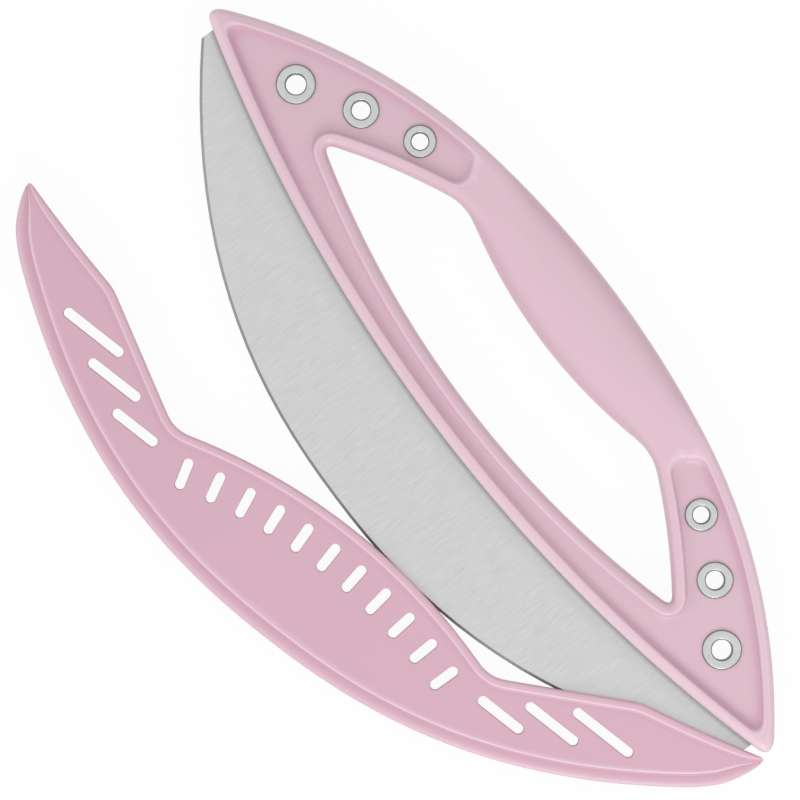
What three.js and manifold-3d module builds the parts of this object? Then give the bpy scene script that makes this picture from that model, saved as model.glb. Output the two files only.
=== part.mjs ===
// A rocking pizza cutter: a curved blade riveted between the two scales of a loop handle,
// and the one-piece sheath that covers its edge, shown swung part of the way off.
//
// Millimetres. While modelling, X runs along the cutter and every piece is symmetric about x = 0,
// Y runs from the cutting edge to the grip and is 0 where the blade leaves the handle at
// mid-length, and Z is square to the blade, 0 in its middle plane.
import * as THREE from "three";
import { mergeVertices } from "three/addons/utils/BufferGeometryUtils.js";
import Module from "manifold-3d";

const { Vector2, Vector3 } = THREE;
const wasm = await Module();
wasm.setup();

// Handle outline
const HANDLE_LENGTH = 358.6;
const HANDLE_HEIGHT = 87; // from the blade-side edge to the top of the grip, at mid-length
const HANDLE_THICKNESS = 16;
const BLADE_SIDE_RADIUS = 645; // the edge that the blade comes out of
const CROWN_RADIUS = 398; // top edge over the grip
const CROWN_LENGTH = 140; // of that arc; a tighter one runs on from it to each tip
const TIP_FACE = 4.6; // height of the blunt end of each tip
const TIP_TRIM = 3.5; // how far from its corners the round of the tip starts
const LEAST_NOSE = 1; // the same face on lines inside the handle, where they run together

// Hand opening
const BAR_WIDTH = 15; // blade-side bar at mid-length
const FLOOR_RADIUS = 397; // opening's edge along that bar
const OPENING_REACH = 0.442; // its corner, as a share of the way from the grip to the handle's tip
const OPENING_TRIM = 5;
const SIDE_BULGE = 1.8; // bow of the slanting sides
const GRIP_DEPTH = 34.3; // at mid-length
const GRIP_SPAN = 119; // between the upper corners of the opening
const BELLY_RADIUS = 212; // finger side of the grip
const BELLY_TRIM = 8;

// Handle section
const EDGE_ROUND = 2.6; // at the ends and along the bar
const GRIP_ROUND = 9; // across the grip
const GRIP_ROUND_HEIGHT = 6;
const GRIP_FADE = 22; // length over which the grip's round fades into the ends
const RIM_BLADE_SIDE = 5.8;
const RIM_CROWN = 4.5;
const RIM_OPENING = 5;
const POCKET_DEPTH = 3;
const POCKET_FILLET = 1.6;
const POCKET_PAST_TOP = 15.4; // last rivet to the end of the sunk panel, under the crown
const POCKET_PAST_LOW = 25.4; // and beside the opening
const POCKET_TRIM = 3;
const POCKET_NOSE = 5; // height of the sunk panel's blunt ends, at the tips
const PARTING_GAP = 0.1; // glue line between the scales

// Hollow of the grip, and the pegs that line up the scales
const CORE_WALL = 5.5;
const CORE_ROOF = 3;
const CORE_END_GAP = 9.5; // upper corner of the opening to the end of the hollow
const CORE_TRIM = 4;
const PEG_END_GAP = 19; // end of the hollow to the peg
const PEG_RADIUS = 2.5;
const PEG_REACH = 3; // past the parting plane
const PEG_CLEARANCE = 0.3;
const BOSS_WALL = 2;
const CORE_OVERLAP = 0.5; // how far bosses and pegs run into the roof of the hollow

// Blade
const BLADE_END_GAP = 6.1; // handle's tip to the blade's end
const BLADE_DEPTH = 47.6; // below the handle, at mid-length
const BLADE_THICKNESS = 1.5;
const BLADE_END = 5.6; // height of the square end below the handle
const CUTTING_POWER = 2.27; // how late the cutting edge rises towards its ends
const EDGE_BEVEL = 1.1; // width of the ground edge
const EDGE_LAND = 0.2; // thickness left at the edge
const TANG_INSET = 4; // from the handle's outline and the opening
const TANG_PAST = 11.4; // last rivet to the end of the tang's horn
const TANG_TRIM = 3;
const TANG_CLEARANCE = 0.3;
const TANG_SEAT = 0.1; // each face of the tang to its scale

// Hollow rivets: the share of the way from the grip to the handle's tip, and then how far below
// the crown they are and their diameters, as shares of the handle's height
const RIVETS = {
  tip: { along: 0.646, below: 0.217, flange: 0.178, bore: 0.09 },
  middle: { along: 0.453, below: 0.19, flange: 0.164, bore: 0.083 },
  grip: { along: 0.258, below: 0.161, flange: 0.148, bore: 0.076 },
};
const FLANGE_THICKNESS = 0.9;
const FLANGE_SEAT = 0.05;
const POST_WALL = 0.6; // rear half, which presses into the front half
const SLEEVE_WALL = 0.7;
const RIVET_FIT = 0.15; // between the halves
const RIVET_HOLE_CLEARANCE = 0.2;

// Sheath, given where it sits when it covers the blade
const SHEATH_CLEARANCE = 0.45; // each side of the blade
const SHEATH_WALL = 2;
const SHEATH_RIM = 5.7; // solid edge below the slot
const SHEATH_EDGE_GAP = 4.7; // cutting edge to the bottom of the slot
const SHEATH_SEAT_GAP = 1.2; // wings to the handle
const SHEATH_END_GAP = 7.8; // blade's end to the tip
const SLOT_END_GAP = 1.5; // blade's end to the end of the slot
const END_CURVE = 14; // length of the tighter curve up to each tip
const END_LEAN = 18; // degrees from upright as it reaches the tip
const WING_LENGTH = 51; // from the tip to the shoulder
const SHOULDER_TRIM = 3.2;
const BULGE_BELOW = 4; // under the handle's edge, at mid-length
const BULGE_RADIUS = 245;
const DIP_FROM_TIP = 103.5; // sheath's tip to the dip beside the bulge
const DIP_TRIM = 6.5;
const LIP_WIDTH = 3.8;
const LIP_HEIGHT = 1;
const BEVEL_WIDTH = 5.5;
const SHEATH_EDGE = 3.4; // thickness at the bevelled edge
const SHEATH_ROUND = 0.8;
const TIP_HEIGHT = 1.6; // of the sheath's blunt tips
const SLOT_WIDTH = 4;
const SLOT_LENGTH = 28.5; // nearest the tip
const SLOT_SHORTENING = 3.6; // each one further in
const SLOT_COUNT = 3;
const SLOT_FROM_TIP = 55.6; // sheath's tip to the middle of the first slot
const SLOT_STEP_X = 17.7;
const SLOT_STEP_Y = 9.55;
const SLOT_INSET = 21.8; // first slot to the bevelled edge
const VENT_COUNT = 11;
const VENT_LENGTH = 12.5;
const VENT_INSET = 14.5; // middle of the vents to the bulge
const VENT_END_GAP = 9.5; // dip to the last vent
const SHEATH_SWING = 14.85; // degrees off the blade, about the right-hand tip

// Facets
const ROUND_STEPS = 3;
const FILLET_STEPS = 2;
const ARC_STEPS = 12;
const FLOOR_FAN = 1.6; // the floor's points crowd towards its corners
const SIDE_STEPS = 7;
const CORNER_STEPS = 3;
const EDGE_STEPS = 18; // each half of the cutting edge
const RIVET_SIDES = 20;
const PEG_SIDES = 12;
const WELD = 1e-4;
const THROUGH = 1; // how far a cutting tool runs past what it cuts

const CROWN_STEPS = SIDE_STEPS + CORNER_STEPS + SIDE_STEPS;
const HALF_LENGTH = HANDLE_LENGTH / 2;
const HALF_THICKNESS = HANDLE_THICKNESS / 2;
const HALF_BLADE = HALF_LENGTH - BLADE_END_GAP;
const GRIP_CORNER = GRIP_SPAN / 2;
const CORE_END = GRIP_CORNER - CORE_END_GAP;
const alongArm = (share) => GRIP_CORNER + share * (HALF_LENGTH - GRIP_CORNER);
const OPENING_CORNER = alongArm(OPENING_REACH);
const LAST_RIVET = alongArm(RIVETS.grip.along);
const POCKET_FLOOR = HALF_THICKNESS - POCKET_DEPTH;
const SLOT_HALF = BLADE_THICKNESS / 2 + SHEATH_CLEARANCE;
const PANEL_HALF = SLOT_HALF + SHEATH_WALL;

// Points and curves

const at = (x, y) => new Vector2(x, y);
const between = (from, to, share) => from + (to - from) * share;

// Even steps from 0 to 1, and the points of a curve at them, without its last point.
const steps = (count) => Array.from({ length: count + 1 }, (_, i) => i / count);
const sampled = (count, curve) => steps(count).slice(0, -1).map(curve);

// A corner rounded by a parabola, without its last point.
const roundCorner = (from, corner, to, count = CORNER_STEPS) =>
  new THREE.QuadraticBezierCurve(from, corner, to).getPoints(count).slice(0, -1);

// A point a given way along the straight line from one point to another.
const towards = (from, to, distance) => from.clone().lerp(to, distance / from.distanceTo(to));

// A closed loop from its right half, which runs from x = 0 round to x = 0 again.
const mirrored = (half) => [
  ...half,
  ...half.slice(1, -1).reverse().map((p) => at(-p.x, p.y)),
];

// Rings on both sides of x = 0 from those of the right half, the first of which is at x = 0.
const mirroredRings = (right) => [
  ...right.slice(1).reverse().map((ring) => ring.map((p) => new Vector3(-p.x, p.y, p.z))),
  ...right,
];

// Normals of an open line of points, to its right. It starts square to the axis of symmetry,
// and may come back to it.
function rightNormals(line) {
  return line.map((p, i) => {
    if (i === 0) return at(0, -1);
    const before = p.clone().sub(line[i - 1]).normalize();
    if (i === line.length - 1) return p.x === 0 ? at(0, 1) : at(before.y, -before.x);
    const after = line[i + 1].clone().sub(p).normalize();
    const along = before.add(after).normalize();
    return at(along.y, -along.x);
  });
}

const offsetLine = (line, distance) => {
  const normals = rightNormals(line);
  return line.map((p, i) => p.clone().addScaledVector(normals[i], distance));
};

// A closed loop moved outwards by a small distance.
function grownLoop(loop, distance) {
  return loop.map((p, i) => {
    const before = p.clone().sub(loop.at(i - 1)).normalize();
    const after = loop[(i + 1) % loop.length].clone().sub(p).normalize();
    const along = before.clone().add(after).normalize();
    const reach = distance / Math.max(along.dot(after), 0.5);
    return at(p.x + along.y * reach, p.y - along.x * reach);
  });
}

// The largest x up to a limit at which a falling function is still above zero.
function lastAbove(falling, limit) {
  if (falling(limit) > 0) return limit;
  let [low, high] = [0, limit];
  for (let i = 0; i < 40; i++) {
    const middle = (low + high) / 2;
    if (falling(middle) > 0) low = middle;
    else high = middle;
  }
  return low;
}

// Solids

function solidOf(geometry) {
  geometry.deleteAttribute("normal");
  geometry.deleteAttribute("uv");
  const merged = mergeVertices(geometry, WELD);
  return new wasm.Manifold(
    new wasm.Mesh({
      numProp: 3,
      vertProperties: merged.getAttribute("position").array,
      triVerts: new Uint32Array(merged.index.array),
    }),
  );
}

function geometryOf(solid) {
  const { vertProperties, triVerts } = solid.getMesh();
  const geometry = new THREE.BufferGeometry();
  geometry.setAttribute("position", new THREE.BufferAttribute(vertProperties, 3));
  geometry.setIndex(new THREE.BufferAttribute(triVerts, 1));
  geometry.computeVertexNormals();
  return geometry;
}

// A flat loop made solid from one height to another.
function prism(loop, low, high) {
  const geometry = new THREE.ExtrudeGeometry(new THREE.Shape(loop), {
    depth: high - low,
    bevelEnabled: false,
  });
  return solidOf(geometry.translate(0, 0, low));
}

// The same, but spreading by a round at both ends, so that the loop is the outline of the ends.
function spreadPrism(loop, low, high, round) {
  const geometry = new THREE.ExtrudeGeometry(new THREE.Shape(loop), {
    depth: high - low - 2 * round,
    bevelEnabled: true,
    bevelSize: round,
    bevelThickness: round,
    bevelSegments: FILLET_STEPS,
  });
  return solidOf(geometry.translate(0, 0, low + round));
}

function cylinder(centre, radius, low, high, sides) {
  const geometry = new THREE.CylinderGeometry(radius, radius, high - low, sides);
  geometry.rotateX(Math.PI / 2);
  return solidOf(geometry.translate(centre.x, centre.y, (low + high) / 2));
}

// Rings of points joined into one closed skin: each ring is closed, and the last ring either
// joins the first or, with capped ends, both end rings are closed by a fan.
function skin(rings, capped) {
  const sides = rings[0].length;
  const points = rings.flat();
  const faces = [];
  const last = capped ? rings.length - 1 : rings.length;
  for (let r = 0; r < last; r++) {
    const next = (r + 1) % rings.length;
    for (let s = 0; s < sides; s++) {
      const [a, b] = [r * sides + s, r * sides + ((s + 1) % sides)];
      const [c, d] = [next * sides + s, next * sides + ((s + 1) % sides)];
      faces.push(a, b, d, a, d, c);
    }
  }
  if (capped) {
    const top = (rings.length - 1) * sides;
    for (let s = 1; s < sides - 1; s++) {
      faces.push(0, s + 1, s, top, top + s, top + s + 1);
    }
  }
  const geometry = new THREE.BufferGeometry().setFromPoints(points);
  geometry.setIndex(faces);
  return solidOf(geometry);
}

// Edges of the handle

// The edge that the blade comes out of, or a line inside the handle along it.
const bladeSideY = (x, inset = 0) =>
  BLADE_SIDE_RADIUS - Math.sqrt((BLADE_SIDE_RADIUS - inset) ** 2 - x * x);

// The top edge: an arc over the grip, and one that leaves it smoothly and ends at the tip.
const overGrip = { centre: at(0, HANDLE_HEIGHT - CROWN_RADIUS), radius: CROWN_RADIUS };
const towardsTip = tangentArc();
function tangentArc() {
  const { centre, radius } = overGrip;
  const across = CROWN_LENGTH / 2;
  const start = at(across, centre.y + Math.sqrt(radius ** 2 - across ** 2));
  const inwards = centre.clone().sub(start).normalize();
  const chord = at(HALF_LENGTH, bladeSideY(HALF_LENGTH) + TIP_FACE).sub(start);
  const tighter = chord.lengthSq() / (2 * chord.dot(inwards));
  return { centre: start.addScaledVector(inwards, tighter), radius: tighter };
}

// A point on the right half of the top edge, or inside it by some distance.
function crownPoint(x, inset = 0) {
  const { centre, radius } = x < CROWN_LENGTH / 2 ? overGrip : towardsTip;
  const across = x - centre.x;
  const onEdge = at(across, Math.sqrt(radius ** 2 - across ** 2));
  return onEdge.multiplyScalar(1 - inset / radius).add(centre);
}

// The station whose inset point on the top edge has a given x.
const crownStation = (x, inset) =>
  lastAbove((station) => x - crownPoint(station, inset).x, HALF_LENGTH + inset);

// Right half of the handle's outline, or of a line inside it, from the blade side to the grip.
function handleHalf(bladeSideInset = 0, crownInset = bladeSideInset, crownEnd = 0, nose = LEAST_NOSE) {
  const spare = (x) =>
    crownPoint(crownStation(x, crownInset), crownInset).y - bladeSideY(x, bladeSideInset) - nose;
  const tip = lastAbove(spare, HALF_LENGTH - Math.max(bladeSideInset, crownInset));
  const crownTip = crownStation(tip, crownInset);
  const low = at(tip, bladeSideY(tip, bladeSideInset));
  const high = crownPoint(crownTip, crownInset);
  const middle = low.clone().lerp(high, 0.5);
  const trim = Math.min(TIP_TRIM, 2 * low.distanceTo(middle));
  const sideEnd = tip - trim;
  const crownStart = crownTip - trim;
  const alongBladeSide = (x) => at(x, bladeSideY(x, bladeSideInset));
  const alongCrown = (s) => crownPoint(between(crownStart, crownEnd, s), crownInset);
  const crownSteps = Math.ceil((CROWN_STEPS * (crownStart - crownEnd)) / crownStart);
  return [
    ...sampled(ARC_STEPS, (s) => alongBladeSide(sideEnd * s)),
    ...roundCorner(alongBladeSide(sideEnd), low, middle),
    ...roundCorner(middle, high, alongCrown(0)),
    ...steps(crownSteps).map(alongCrown),
  ];
}

// Edges of the hand opening

const FLOOR_TOP = BAR_WIDTH + FLOOR_RADIUS;
const floorPoint = (x) => at(x, FLOOR_TOP - Math.sqrt(FLOOR_RADIUS ** 2 - x * x));
const BELLY_TOP = HANDLE_HEIGHT - GRIP_DEPTH + BELLY_RADIUS;
const bellyPoint = (x) => at(x, BELLY_TOP - Math.sqrt(BELLY_RADIUS ** 2 - x * x));

// Right half of the opening's edge, from the bar to the grip. It has as many points as the
// handle's own half outline, so the two can be joined point to point.
function openingHalf() {
  const end = floorPoint(OPENING_CORNER);
  const upper = bellyPoint(GRIP_CORNER);
  const bow = at(upper.y - end.y, end.x - upper.x).setLength(2 * SIDE_BULGE);
  const side = new THREE.QuadraticBezierCurve(end, end.clone().lerp(upper, 0.5).add(bow), upper);
  const length = side.getLength();
  const [low, high] = [OPENING_TRIM / length, 1 - BELLY_TRIM / length];
  const floorEnd = end.x - OPENING_TRIM;
  const bellyEnd = upper.x - BELLY_TRIM;
  return [
    ...sampled(ARC_STEPS, (s) => floorPoint(floorEnd * (1 - (1 - s) ** FLOOR_FAN))),
    ...roundCorner(floorPoint(floorEnd), end, side.getPoint(low), 2 * CORNER_STEPS),
    ...sampled(SIDE_STEPS, (s) => side.getPoint(between(low, high, s))),
    ...roundCorner(side.getPoint(high), upper, bellyPoint(bellyEnd)),
    ...steps(SIDE_STEPS).map((s) => bellyPoint(bellyEnd * (1 - s))),
  ];
}

// Part of a line inside the opening's edge that runs from the bar, round the corner and up the
// side to a given x, or on to the grip.
function alongOpening(inset, stopX) {
  const line = offsetLine(openingHalf(), inset);
  const far = line.reduce((best, p, i) => (p.x > line[best].x ? i : best), 0);
  const past = line.findIndex((p, i) => i > far && p.x < stopX);
  const [a, b] = [line[past - 1], line[past]];
  const stop = a.clone().lerp(b, (a.x - stopX) / (a.x - b.x));
  return [...line.slice(0, past), stop];
}

// Closed loop of a plate that lies inside the handle: it runs along a lower edge, up to a
// stretch of the crown, ends square to the arm there, and returns along the opening.
function armLoop(lowerEdge, crownLine, openingLine, trim) {
  const crownEnd = crownLine.at(-1);
  const openingEnd = openingLine.at(-1);
  const back = openingLine.slice(0, -1).reverse();
  const keep = (p, corner) => p.distanceTo(corner) > trim;
  const crownKept = crownLine.filter((p) => keep(p, crownEnd));
  const backKept = back.filter((p) => keep(p, openingEnd));
  const crownTurn = towards(crownEnd, openingEnd, trim);
  const openingTurn = towards(openingEnd, crownEnd, trim);
  return mirrored([
    ...lowerEdge,
    ...crownKept,
    ...roundCorner(towards(crownEnd, crownLine.at(-2), trim), crownEnd, crownTurn),
    crownTurn,
    ...roundCorner(openingTurn, openingEnd, towards(openingEnd, back[0], trim)),
    ...backKept,
  ]);
}

// Floor of the sunk panel of each scale: along the bar, into both ends and up the arms to the
// grip. The fillet round it reaches the rims.
function pocketLoop() {
  const inside = (rim) => rim + POCKET_FILLET;
  const topEnd = inside(LAST_RIVET - POCKET_PAST_TOP);
  const lowEnd = inside(LAST_RIVET - POCKET_PAST_LOW);
  const outline = handleHalf(inside(RIM_BLADE_SIDE), inside(RIM_CROWN), topEnd, POCKET_NOSE);
  return armLoop([], outline, alongOpening(inside(RIM_OPENING), lowEnd), POCKET_TRIM);
}

// Blade

const CUTTING_RISE = BLADE_DEPTH + bladeSideY(HALF_BLADE) - BLADE_END;
const cuttingY = (x) => CUTTING_RISE * (Math.abs(x) / HALF_BLADE) ** CUTTING_POWER - BLADE_DEPTH;
const cuttingSlope = (x) =>
  ((CUTTING_RISE * CUTTING_POWER) / HALF_BLADE) * (x / HALF_BLADE) ** (CUTTING_POWER - 1);

// A point outside the right half of the cutting edge by some distance.
function belowEdge(x, distance) {
  const slope = cuttingSlope(x);
  const drop = distance / Math.hypot(1, slope);
  return at(x + drop * slope, cuttingY(x) - drop);
}

function bladeLoop() {
  const edge = steps(EDGE_STEPS).map((s) => belowEdge(HALF_BLADE * s, 0));
  const crownStart = crownStation(HALF_BLADE, TANG_INSET);
  const hornEnd = LAST_RIVET - TANG_PAST;
  const crown = steps(ARC_STEPS).map((s) => crownPoint(between(crownStart, hornEnd, s), TANG_INSET));
  return armLoop(edge, crown, alongOpening(TANG_INSET, hornEnd), TANG_TRIM);
}

// What grinding takes off one face, so that the edge is left thin.
function edgeWedge(side) {
  const half = BLADE_THICKNESS / 2;
  const land = EDGE_LAND / 2;
  const rise = half + THROUGH - land;
  const reach = (EDGE_BEVEL * rise) / (half - land);
  const section = [
    [THROUGH, half + THROUGH],
    [THROUGH, land],
    [0, land],
    [-reach, half + THROUGH],
  ];
  const ordered = side > 0 ? section : section.slice().reverse();
  const ringAt = (x) =>
    ordered.map(([out, z]) => {
      const p = belowEdge(x, out);
      return new Vector3(p.x, p.y, side * z);
    });
  const right = steps(EDGE_STEPS).map((s) => ringAt(HALF_BLADE * s));
  right.push(ringAt(HALF_BLADE + 2 * reach));
  return skin(mirroredRings(right), true);
}

function blade(rivets) {
  const half = BLADE_THICKNESS / 2;
  let plate = prism(bladeLoop(), -half, half);
  plate = plate.subtract(edgeWedge(1)).subtract(edgeWedge(-1));
  for (const rivet of rivets) {
    plate = plate.subtract(cylinder(rivet.at, rivet.hole, -half - THROUGH, half + THROUGH, RIVET_SIDES));
  }
  return plate;
}

// Rivets

function placedRivets() {
  const placed = [];
  for (const [end, side] of [["left", -1], ["right", 1]]) {
    for (const [row, { along, below, flange, bore }] of Object.entries(RIVETS)) {
      const inset = below * HANDLE_HEIGHT;
      const centre = crownPoint(crownStation(alongArm(along), inset), inset);
      const boreRadius = (bore * HANDLE_HEIGHT) / 2;
      const sleeve = boreRadius + POST_WALL + RIVET_FIT;
      placed.push({
        name: `${end}_${row}`,
        at: at(side * centre.x, centre.y),
        flange: (flange * HANDLE_HEIGHT) / 2,
        bore: boreRadius,
        sleeve,
        hole: sleeve + SLEEVE_WALL + RIVET_HOLE_CLEARANCE,
      });
    }
  }
  return placed;
}

const SEAT = POCKET_FLOOR + FLANGE_SEAT;
const FLANGE_TOP = SEAT + FLANGE_THICKNESS;

// A ring turned from a closed section given as [radius, height] corners.
function turned(centre, section) {
  const profile = [...section, section[0]].map(([r, z]) => at(r, z));
  const geometry = new THREE.LatheGeometry(profile, RIVET_SIDES).rotateX(Math.PI / 2);
  return solidOf(geometry.translate(centre.x, centre.y, 0));
}

// Front half: a flange on the front scale and the outer tube.
function rivetSleeve({ at: centre, flange, bore, sleeve }) {
  const outer = sleeve + SLEEVE_WALL;
  return turned(centre, [
    [bore, SEAT],
    [sleeve, SEAT],
    [sleeve, -POCKET_FLOOR],
    [outer, -POCKET_FLOOR],
    [outer, SEAT],
    [flange, SEAT],
    [flange, FLANGE_TOP],
    [bore, FLANGE_TOP],
  ]);
}

// Rear half: a flange on the back scale and the tube that presses into the front half.
function rivetPost({ at: centre, flange, bore }) {
  return turned(centre, [
    [bore, -FLANGE_TOP],
    [flange, -FLANGE_TOP],
    [flange, -SEAT],
    [bore + POST_WALL, -SEAT],
    [bore + POST_WALL, SEAT - RIVET_FIT],
    [bore, SEAT - RIVET_FIT],
  ]);
}

// Scales

// Solid half of the handle on one side of the parting plane, before anything is cut from it:
// rings run round the loop, from its outer edge over the face to the opening.
function scaleBody(side) {
  const outer = handleHalf();
  const inner = openingHalf();
  const outerNormals = rightNormals(outer);
  const innerNormals = rightNormals(inner);
  const gripShare = inner.map((p, i) => {
    const fromCorner = p.x - (GRIP_CORNER - GRIP_FADE / 2);
    const onArm = i > ARC_STEPS + 2 * CORNER_STEPS;
    return onArm ? 1 - THREE.MathUtils.smoothstep(fromCorner, 0, GRIP_FADE) : 0;
  });
  const ring = (line, normals, inwards, turn) => {
    const half = line.map((p, i) => {
      const wide = between(EDGE_ROUND, GRIP_ROUND, gripShare[i]);
      const tall = between(EDGE_ROUND, GRIP_ROUND_HEIGHT, gripShare[i]);
      const q = p.clone().addScaledVector(normals[i], inwards * wide * (1 - Math.cos(turn)));
      return new Vector3(q.x, q.y, side * (HALF_THICKNESS - tall * (1 - Math.sin(turn))));
    });
    return [...half, ...half.slice(1, -1).reverse().map((p) => new Vector3(-p.x, p.y, p.z))];
  };
  const flat = (points) => points.map((p) => new Vector3(p.x, p.y, (side * PARTING_GAP) / 2));
  const turns = steps(ROUND_STEPS).map((s) => (s * Math.PI) / 2);
  const outerRings = turns.map((turn) => ring(outer, outerNormals, -1, turn));
  const innerRings = turns.map((turn) => ring(inner, innerNormals, 1, turn)).reverse();
  const rings = [flat(outerRings[0]), ...outerRings, ...innerRings, flat(innerRings.at(-1))];
  return skin(side > 0 ? rings : rings.reverse(), false);
}

function coreLoop() {
  const straight = CORE_END - CORE_TRIM;
  const lower = (x) => at(x, bellyPoint(x).y + CORE_WALL);
  const upper = (x) => crownPoint(x, CORE_WALL);
  const [a, b] = [lower(CORE_END), upper(CORE_END)];
  return mirrored([
    ...sampled(SIDE_STEPS, (s) => lower(straight * s)),
    ...roundCorner(lower(straight), a, towards(a, b, CORE_TRIM)),
    ...roundCorner(towards(b, a, CORE_TRIM), b, upper(straight)),
    ...steps(SIDE_STEPS).map((s) => upper(straight * (1 - s))),
  ]);
}

function pegPlaces() {
  const x = CORE_END - PEG_END_GAP;
  const y = (bellyPoint(x).y + crownPoint(x).y) / 2;
  return [at(-x, y), at(x, y)];
}

// Cuts that both scales share, made on the front and turned over for the back.
function cutScale(body, side, rivets) {
  const span = (low, high) => (side > 0 ? [low, high] : [-high, -low]);
  const tangTop = BLADE_THICKNESS / 2 + TANG_SEAT;
  const coreTop = HALF_THICKNESS - CORE_ROOF;
  const pocketTop = HALF_THICKNESS + POCKET_FILLET + THROUGH;
  let cut = body
    .subtract(spreadPrism(pocketLoop(), ...span(POCKET_FLOOR, pocketTop), POCKET_FILLET))
    .subtract(prism(grownLoop(bladeLoop(), TANG_CLEARANCE), ...span(-THROUGH, tangTop)))
    .subtract(prism(coreLoop(), ...span(-THROUGH, coreTop)));
  for (const rivet of rivets) {
    cut = cut.subtract(cylinder(rivet.at, rivet.hole, ...span(-THROUGH, pocketTop), RIVET_SIDES));
  }
  return cut;
}

function frontScale(rivets) {
  let scale = cutScale(scaleBody(1), 1, rivets);
  const roof = HALF_THICKNESS - CORE_ROOF + CORE_OVERLAP;
  const hole = PEG_RADIUS + PEG_CLEARANCE;
  for (const place of pegPlaces()) {
    scale = scale
      .add(cylinder(place, hole + BOSS_WALL, PARTING_GAP / 2, roof, PEG_SIDES))
      .subtract(cylinder(place, hole, -THROUGH, PEG_REACH + PEG_CLEARANCE, PEG_SIDES));
  }
  return scale;
}

function backScale(rivets) {
  let scale = cutScale(scaleBody(-1), -1, rivets);
  const roof = HALF_THICKNESS - CORE_ROOF + CORE_OVERLAP;
  for (const place of pegPlaces()) {
    scale = scale.add(cylinder(place, PEG_RADIUS, -roof, PEG_REACH, PEG_SIDES));
  }
  return scale;
}

// Sheath

const SHEATH_TIP_X = HALF_BLADE + SHEATH_END_GAP;
const SHOULDER_X = SHEATH_TIP_X - WING_LENGTH;
const DIP_X = SHEATH_TIP_X - DIP_FROM_TIP;
const wingPoint = (x) => at(x, bladeSideY(x, -SHEATH_SEAT_GAP));
const bulgePoint = (x) => at(x, Math.sqrt(BULGE_RADIUS ** 2 - x * x) - BULGE_RADIUS - BULGE_BELOW);
const SHEATH_PIVOT = wingPoint(SHEATH_TIP_X).sub(at(0, TIP_HEIGHT / 2));

// Right half of the mouth, from the bulge over the dip and the shoulder to the tip.
function mouthHalf() {
  const shoulder = wingPoint(SHOULDER_X);
  const dip = bulgePoint(DIP_X);
  const bulgeEnd = dip.x - DIP_TRIM;
  const slopeStart = towards(dip, shoulder, DIP_TRIM);
  const slopeEnd = towards(shoulder, dip, SHOULDER_TRIM);
  const wingStart = SHOULDER_X + SHOULDER_TRIM;
  const wing = (s) => wingPoint(between(SHEATH_TIP_X, wingStart, (1 - s) ** 2)); // crowds at the tip
  return [
    ...sampled(SIDE_STEPS, (s) => bulgePoint(bulgeEnd * s)),
    ...roundCorner(bulgePoint(bulgeEnd), dip, slopeStart),
    ...sampled(SIDE_STEPS, (s) => slopeStart.clone().lerp(slopeEnd, s)),
    ...roundCorner(slopeEnd, shoulder, wingPoint(wingStart)),
    ...steps(SIDE_STEPS).map(wing),
  ];
}

// Right half of the bevelled edge, with a point for each point of the mouth: it follows the
// cutting edge, then bends up to the tip.
function rimHalf(mouth) {
  const outside = SHEATH_EDGE_GAP + SHEATH_RIM;
  const bendX = SHEATH_TIP_X - END_CURVE;
  const bendStation = lastAbove((x) => bendX - belowEdge(x, outside).x, HALF_BLADE);
  const bend = belowEdge(bendStation, outside);
  const tip = mouth.at(-1).clone().sub(at(0, TIP_HEIGHT));
  const lean = Math.tan(THREE.MathUtils.degToRad(END_LEAN));
  const slope = cuttingSlope(bendStation);
  const rise = (slope * (tip.x - bend.x - lean * (tip.y - bend.y))) / (1 - slope * lean);
  const control = at(bend.x + rise / slope, bend.y + rise);
  const end = new THREE.QuadraticBezierCurve(bend, control, tip);
  return mouth.map(({ x }) => {
    if (x < bend.x) return belowEdge((bendStation * x) / bend.x, outside);
    return end.getPoint((x - bend.x) / (tip.x - bend.x));
  });
}

// Outside of the sheath: a lip along the mouth, flat panels, and a bevelled rim.
function sheathBody() {
  const mouth = mouthHalf();
  const rim = rimHalf(mouth);
  const fromMouth = rightNormals(mouth);
  const fromRim = rightNormals(rim).map((normal) => normal.negate());
  const lipHalf = PANEL_HALF + LIP_HEIGHT;
  const rings = mouth.map((p, i) => {
    const fit = Math.min(1, p.distanceTo(rim[i]) / (LIP_WIDTH + BEVEL_WIDTH + SHEATH_ROUND));
    const below = (distance) => p.clone().addScaledVector(fromMouth[i], distance * fit);
    const above = (distance) => rim[i].clone().addScaledVector(fromRim[i], distance * fit);
    const front = [
      [below(0), lipHalf - SHEATH_ROUND],
      [below(SHEATH_ROUND), lipHalf],
      [below(LIP_WIDTH - LIP_HEIGHT), lipHalf],
      [below(LIP_WIDTH), PANEL_HALF],
      [above(BEVEL_WIDTH), PANEL_HALF],
      [above(SHEATH_ROUND), SHEATH_EDGE / 2],
      [above(0), SHEATH_EDGE / 2 - SHEATH_ROUND],
    ];
    const back = front.slice().reverse().map(([point, z]) => [point, -z]);
    return [...front, ...back].map(([point, z]) => new Vector3(point.x, point.y, z));
  });
  return skin(mirroredRings(rings), true);
}

// The space for the blade, open along the mouth.
function slotLoop() {
  const bottom = steps(EDGE_STEPS).map((s) => belowEdge(HALF_BLADE * s, SHEATH_EDGE_GAP));
  const end = bottom.pop();
  const corner = at(Math.min(end.x, HALF_BLADE + SLOT_END_GAP), end.y);
  const mouth = bladeSideY(HALF_BLADE) + THROUGH;
  return mirrored([...bottom, corner, at(corner.x, mouth), at(0, mouth)]);
}

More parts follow.
